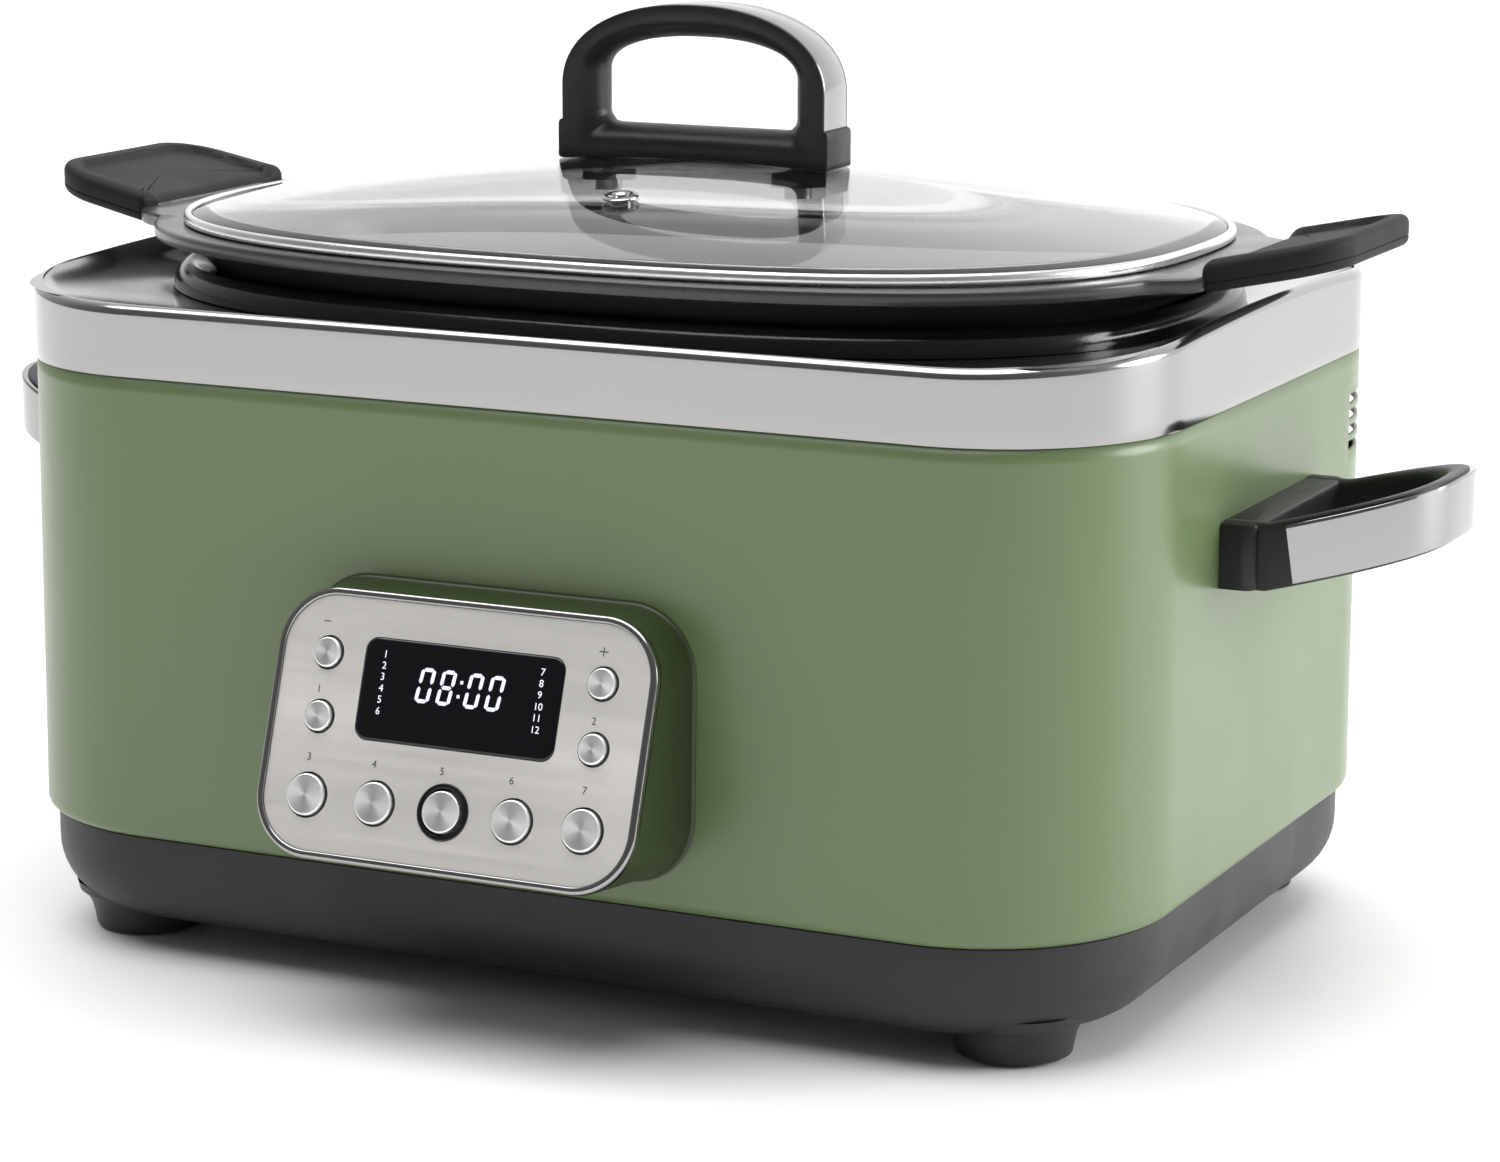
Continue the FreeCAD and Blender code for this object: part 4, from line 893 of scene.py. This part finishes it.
for z, inset in ((232.0, 0.6), (232.5, 0.0), (235.0, 0.0), (235.5, 0.6)):
    row = box_row(20.0, 38.0, (10.0, 1.0, 1.0, 10.0), z, inset) + [206.5, 0, 0]
    row[:, 2] += tab_rise * (row[:, 0] - tab_from)
    tab_rows.append(row)
tab = skin(np.array(tab_rows), start_cap=True, end_cap=True)
pot_parts += [tab, *mirrored([tab])]
piece("pot_shell", pot_parts, pot_outside, "pot", ["cooking_pot"])
pot_inside = finish_of("pot_inner_coating", (0.44, 0.44, 0.44), 0.32)
tint(pot_inside, cloudy(pot_inside, 12, 0, 1), (0.47, 0.47, 0.47))
vary_roughness(pot_inside, cloudy(pot_inside, 60, 0.28, 0.36))
emboss(pot_inside, cloudy(pot_inside, 900, 0, 1, 2.0), 0.004)
piece("pot_lining", [skin(rows[inside_from:], end_cap=True)], pot_inside, "pot")

# ---------------------------------------------------------------- silicone grips
# A matte sleeve over each tab: a raised border on three sides round a shallow tray that
# is open towards the pot, and a thin parting line low on its side.

silicone = moulded(
    "silicone_black", (0.010, 0.010, 0.011), 0.60, grain=0.05, Specular_IOR_Level=0.24
)
grip_start, grip_end = 191.5, 234.5
grip_half, grip_taper = 46.0, 3.0
grip_foot, grip_top = 229.6, 239.6
border, tray_depth, tray_round = 6.0, 2.1, 13.0
grip_path = corner_path(21.5, grip_half, (19.0, 2.6, 2.6, 19.0), arc=20, side=46)


def grip_row(inset, z, share=1.0):
    """The sleeve's outline drawn in by inset, then shrunk about its middle by share."""
    centre, normal, radii = grip_path
    flat = (centre + (radii - inset)[:, None] * normal) * share
    x = flat[:, 0] + (grip_start + grip_end) / 2
    y = flat[:, 1] * (1 - grip_taper / grip_half * (x - grip_start) / (grip_end - grip_start))
    over = np.column_stack([
        x - (grip_end - border - tray_round), np.abs(y) - (44.0 - border - tray_round)
    ])
    distance = (
        np.hypot(*np.maximum(over, 0).T) + np.minimum(over.max(1), 0) - tray_round
    )
    sunk = np.clip(0.2 - distance / 1.8, 0, 1)
    sunk = tray_depth * sunk * sunk * (3 - 2 * sunk)
    upper = np.clip((z - 233.5) / (grip_top - 233.5), 0, 1)
    return np.column_stack([x, y, z - sunk * upper + tab_rise * (x - tab_from)])


foot_round, top_round = 2.2, 3.4
quarter = np.linspace(0, math.pi / 2, 7)
rows = [grip_row(foot_round, grip_foot, share) for share in (0.3, 0.8, 0.97)]
rows += [
    grip_row(foot_round * (1 - math.sin(a)), grip_foot + foot_round * (1 - math.cos(a)))
    for a in quarter
]
rows += [grip_row(*line) for line in (
    (0.0, 232.3), (0.05, 232.45), (0.32, 232.55), (0.32, 232.75), (0.05, 232.85), (0.0, 233.0),
    (0.0, 234.6),
)]
rows += [
    grip_row(top_round * (1 - math.cos(a)), grip_top - top_round * (1 - math.sin(a)))
    for a in quarter
]
rows += [grip_row(top_round, grip_top, share) for share in np.linspace(1.0, 0.02, 48)[1:]]
grip = [skin(np.array(rows), start_cap=True, end_cap=True)]
piece("right_grip_sleeve", grip, silicone, "right_grip", ["right_pot_grip"])
piece("left_grip_sleeve", mirrored(grip), silicone, "left_grip",
      ["left_pot_grip"])

# ---------------------------------------------------------------- lid glass, rim and vent
# A shallow dome of clear tempered glass in a narrow steel band, with a steel eyelet
# that lets out steam in front of the handle.

clear_glass = finish_of(
    "clear_glass", (0.97, 0.985, 0.98), 0.02, Transmission_Weight=1.0, IOR=1.5
)
vary_roughness(clear_glass, cloudy(clear_glass, 30, 0.0, 0.015))
glass_x, glass_y = 173.2, 122.2
glass_shares = [0.02, 0.08, 0.16, 0.25, 0.34, 0.43, 0.52, 0.61, 0.70, 0.78, 0.85, 0.91, 0.96, 0.99]


def glass_top(share):
    return 238.6 + 18.9 * (1 - share * share)


def glass_under(share):
    return 236.0 + 17.5 * (1 - share * share)


glass_profile = [(glass_x * s, glass_y * s, glass_under(s)) for s in glass_shares]
glass_profile += [
    (glass_x - 0.1, glass_y - 0.1, 236.4), (glass_x, glass_y, 237.0), (glass_x, glass_y, 238.2)
]
glass_profile += [(glass_x * s, glass_y * s, glass_top(s)) for s in glass_shares[::-1]]
piece("lid_dome", [skin(ovals(glass_profile), start_cap=True, end_cap=True)], clear_glass,
      "lid", ["lid_glass"])

rim_profile = [
    (168.0, 117.0, 235.3), (175.4, 124.4, 235.3), (175.9, 124.9, 235.6), (176.1, 125.1, 236.4),
    (176.0, 125.0, 237.4), (175.7, 124.7, 238.3), (175.2, 124.2, 238.8), (174.6, 123.6, 238.9),
    (174.0, 123.0, 238.75), (173.5, 122.5, 238.3), (173.3, 122.3, 237.4), (173.3, 122.3, 235.95),
    (168.0, 117.0, 235.95),
]
band_steel = finish_of("lid_band_steel", (0.80, 0.79, 0.78), 0.27, 1.0)
vary_roughness(band_steel, cloudy(band_steel, 40, 0.24, 0.31))
piece("lid_band", [skin(ovals(rim_profile), looped=True)], band_steel, "lid",
      ["lid_rim"])

vent_x, vent_y = 4.0, -68.0
vent_share = ((vent_x / glass_x) ** ring_power + (-vent_y / glass_y) ** ring_power) ** (
    1 / ring_power
)
step = 0.01
vent_slope = (glass_top(vent_share * (1 - step)) - glass_top(vent_share * (1 + step))) / (
    2 * step * -vent_y
)
vent_tip = math.atan(vent_slope)
vent_profile = [
    (1.6, -5.5), (3.6, -5.5), (5.7, -5.4), (6.0, -4.9), (5.7, -4.4), (4.0, -4.3), (4.0, 0.1),
    (5.6, 0.15), (5.95, 0.45), (5.8, 0.85), (5.1, 1.2), (4.2, 1.3), (3.2, 1.1), (2.2, 0.7),
    (1.8, 0.2), (1.6, -0.6),
]
eyelet = turned(vent_profile, (0, 0, 0))
x, y, z = np.moveaxis(eyelet, -1, 0)
eyelet = np.stack([
    x + vent_x,
    y * math.cos(vent_tip) - z * math.sin(vent_tip) + vent_y,
    y * math.sin(vent_tip) + z * math.cos(vent_tip) + glass_top(vent_share),
], -1)
piece("steam_eyelet", [skin(eyelet, looped=True)], bright_steel, "lid",
      ["lid_vent_grommet"])

# ---------------------------------------------------------------- lid handle
# A stay-cool loop: a block that follows the dome, an arch for the hand, and a bright
# strap that wraps the arch and stops on the block's shoulders. Two screws hold it.

block_half, half_depth, shoulder = 49.6, 9.6, 269.2
arch_half, arch_spring, arch_apex, arch_power = 48.2, 280.0, 308.6, 2.2
strap_thick, strap_half, let_in = 2.0, 8.7, 0.12
window_half, window_spring, window_apex, sill = 35.5, 285.5, 297.5, 268.0


def arch_rows(half, spring, apex, count=81):
    """Right-to-left arch of a superellipse above the spring line, as (x, z)."""
    turn = np.linspace(0, math.pi, count)
    cos, sin = np.cos(turn), np.sin(turn)
    size = (np.abs(cos) ** arch_power + np.abs(sin) ** arch_power) ** (-1 / arch_power)
    return np.column_stack([half * size * cos, spring + (apex - spring) * size * sin])


def run(start, end, count):
    """Points from start up to but not including end."""
    share = np.linspace(0, 1, count + 1)[:-1, None]
    return np.array(start) + share * (np.array(end) - np.array(start))


def dome_height(x):
    return glass_top(np.abs(x) / glass_x)


core_half, core_apex = arch_half - let_in, arch_apex - let_in
outer = np.vstack([
    run((0, 0), (block_half - 1.5, 0), 24), run((block_half - 1.5, 0), (block_half, 0.5), 3),
    run((block_half, 0.5), (block_half, shoulder - 1.6), 8),
    run((block_half, shoulder - 1.6), (block_half - 0.4, shoulder - 0.5), 3),
    run((block_half - 0.4, shoulder - 0.5), (core_half, shoulder), 3),
    run((core_half, shoulder), (core_half, arch_spring), 5),
    arch_rows(core_half, arch_spring, core_apex)[:41],
])
outer[:27, 1] += dome_height(outer[:27, 0]) - 0.02
outer[27:35, 1] = np.linspace(outer[26, 1] + 0.5, shoulder - 1.6, 9)[:-1]
inner_line = np.vstack([
    run((0, sill), (window_half - 4.5, sill), 24),
    run((window_half - 4.5, sill), (window_half - 2.3, sill + 0.5), 3),
    run((window_half - 2.3, sill + 0.5), (window_half - 0.5, sill + 2.4), 8),
    run((window_half - 0.5, sill + 2.4), (window_half, sill + 4.2), 3),
    run((window_half, sill + 4.2), (window_half, sill + 6.0), 3),
    run((window_half, sill + 6.0), (window_half, window_spring), 5),
    arch_rows(window_half, window_spring, window_apex)[:41],
])


def both_sides(half_line):
    """Close a right-hand half outline with its mirror image."""
    left = half_line[-2:0:-1] * [-1, 1]
    return np.vstack([half_line, left])


outer, inner_line = both_sides(outer), both_sides(inner_line)
loop_profile = [
    (0.00, -0.95), (0.00, 0.95), (0.01, 0.985), (0.04, 1.00), (0.44, 1.00), (0.58, 0.96),
    (0.70, 0.87), (0.81, 0.72), (0.90, 0.54), (0.97, 0.34), (1.00, 0.17), (1.00, -0.17),
    (0.97, -0.34), (0.90, -0.54), (0.81, -0.72), (0.70, -0.87), (0.58, -0.96), (0.44, -1.00),
    (0.04, -1.00), (0.01, -0.985),
]
rows = []
for share, side in loop_profile:
    line = outer + share * (inner_line - outer)
    rows.append(np.column_stack([line[:, 0], np.full(len(line), side * half_depth), line[:, 1]]))
loop = skin(np.array(rows), looped=True)
piece("lid_handle_loop", [loop], handle_black, "lid", ["lid_handle"], crease=50)


def strap_row(inset):
    """Down one side of the arch and up the other, drawn in by inset."""
    half, apex = arch_half - inset, arch_apex - inset
    legs = run((half, shoulder + 0.1), (half, arch_spring), 6)
    return np.vstack([legs, arch_rows(half, arch_spring, apex), legs[::-1] * [-1, 1]])


strap_section = [
    (strap_thick, -strap_half), (strap_thick, strap_half), (0.45, strap_half),
    (0.14, strap_half - 0.15), (0.0, strap_half - 0.5), (0.0, 0.5 - strap_half),
    (0.14, 0.15 - strap_half), (0.45, -strap_half),
]
rows = []
for inset, y in strap_section:
    line = strap_row(inset)
    rows.append(np.column_stack([line[:, 0], np.full(len(line), y), line[:, 1]]))
piece("lid_handle_band", [open_skin(np.array(rows)[::-1])], bright_steel, "lid",
      ["lid_handle_strap"])
dress(["lid_handle_washers"], silicone)
dress(["lid_handle_screws"], sheet_steel)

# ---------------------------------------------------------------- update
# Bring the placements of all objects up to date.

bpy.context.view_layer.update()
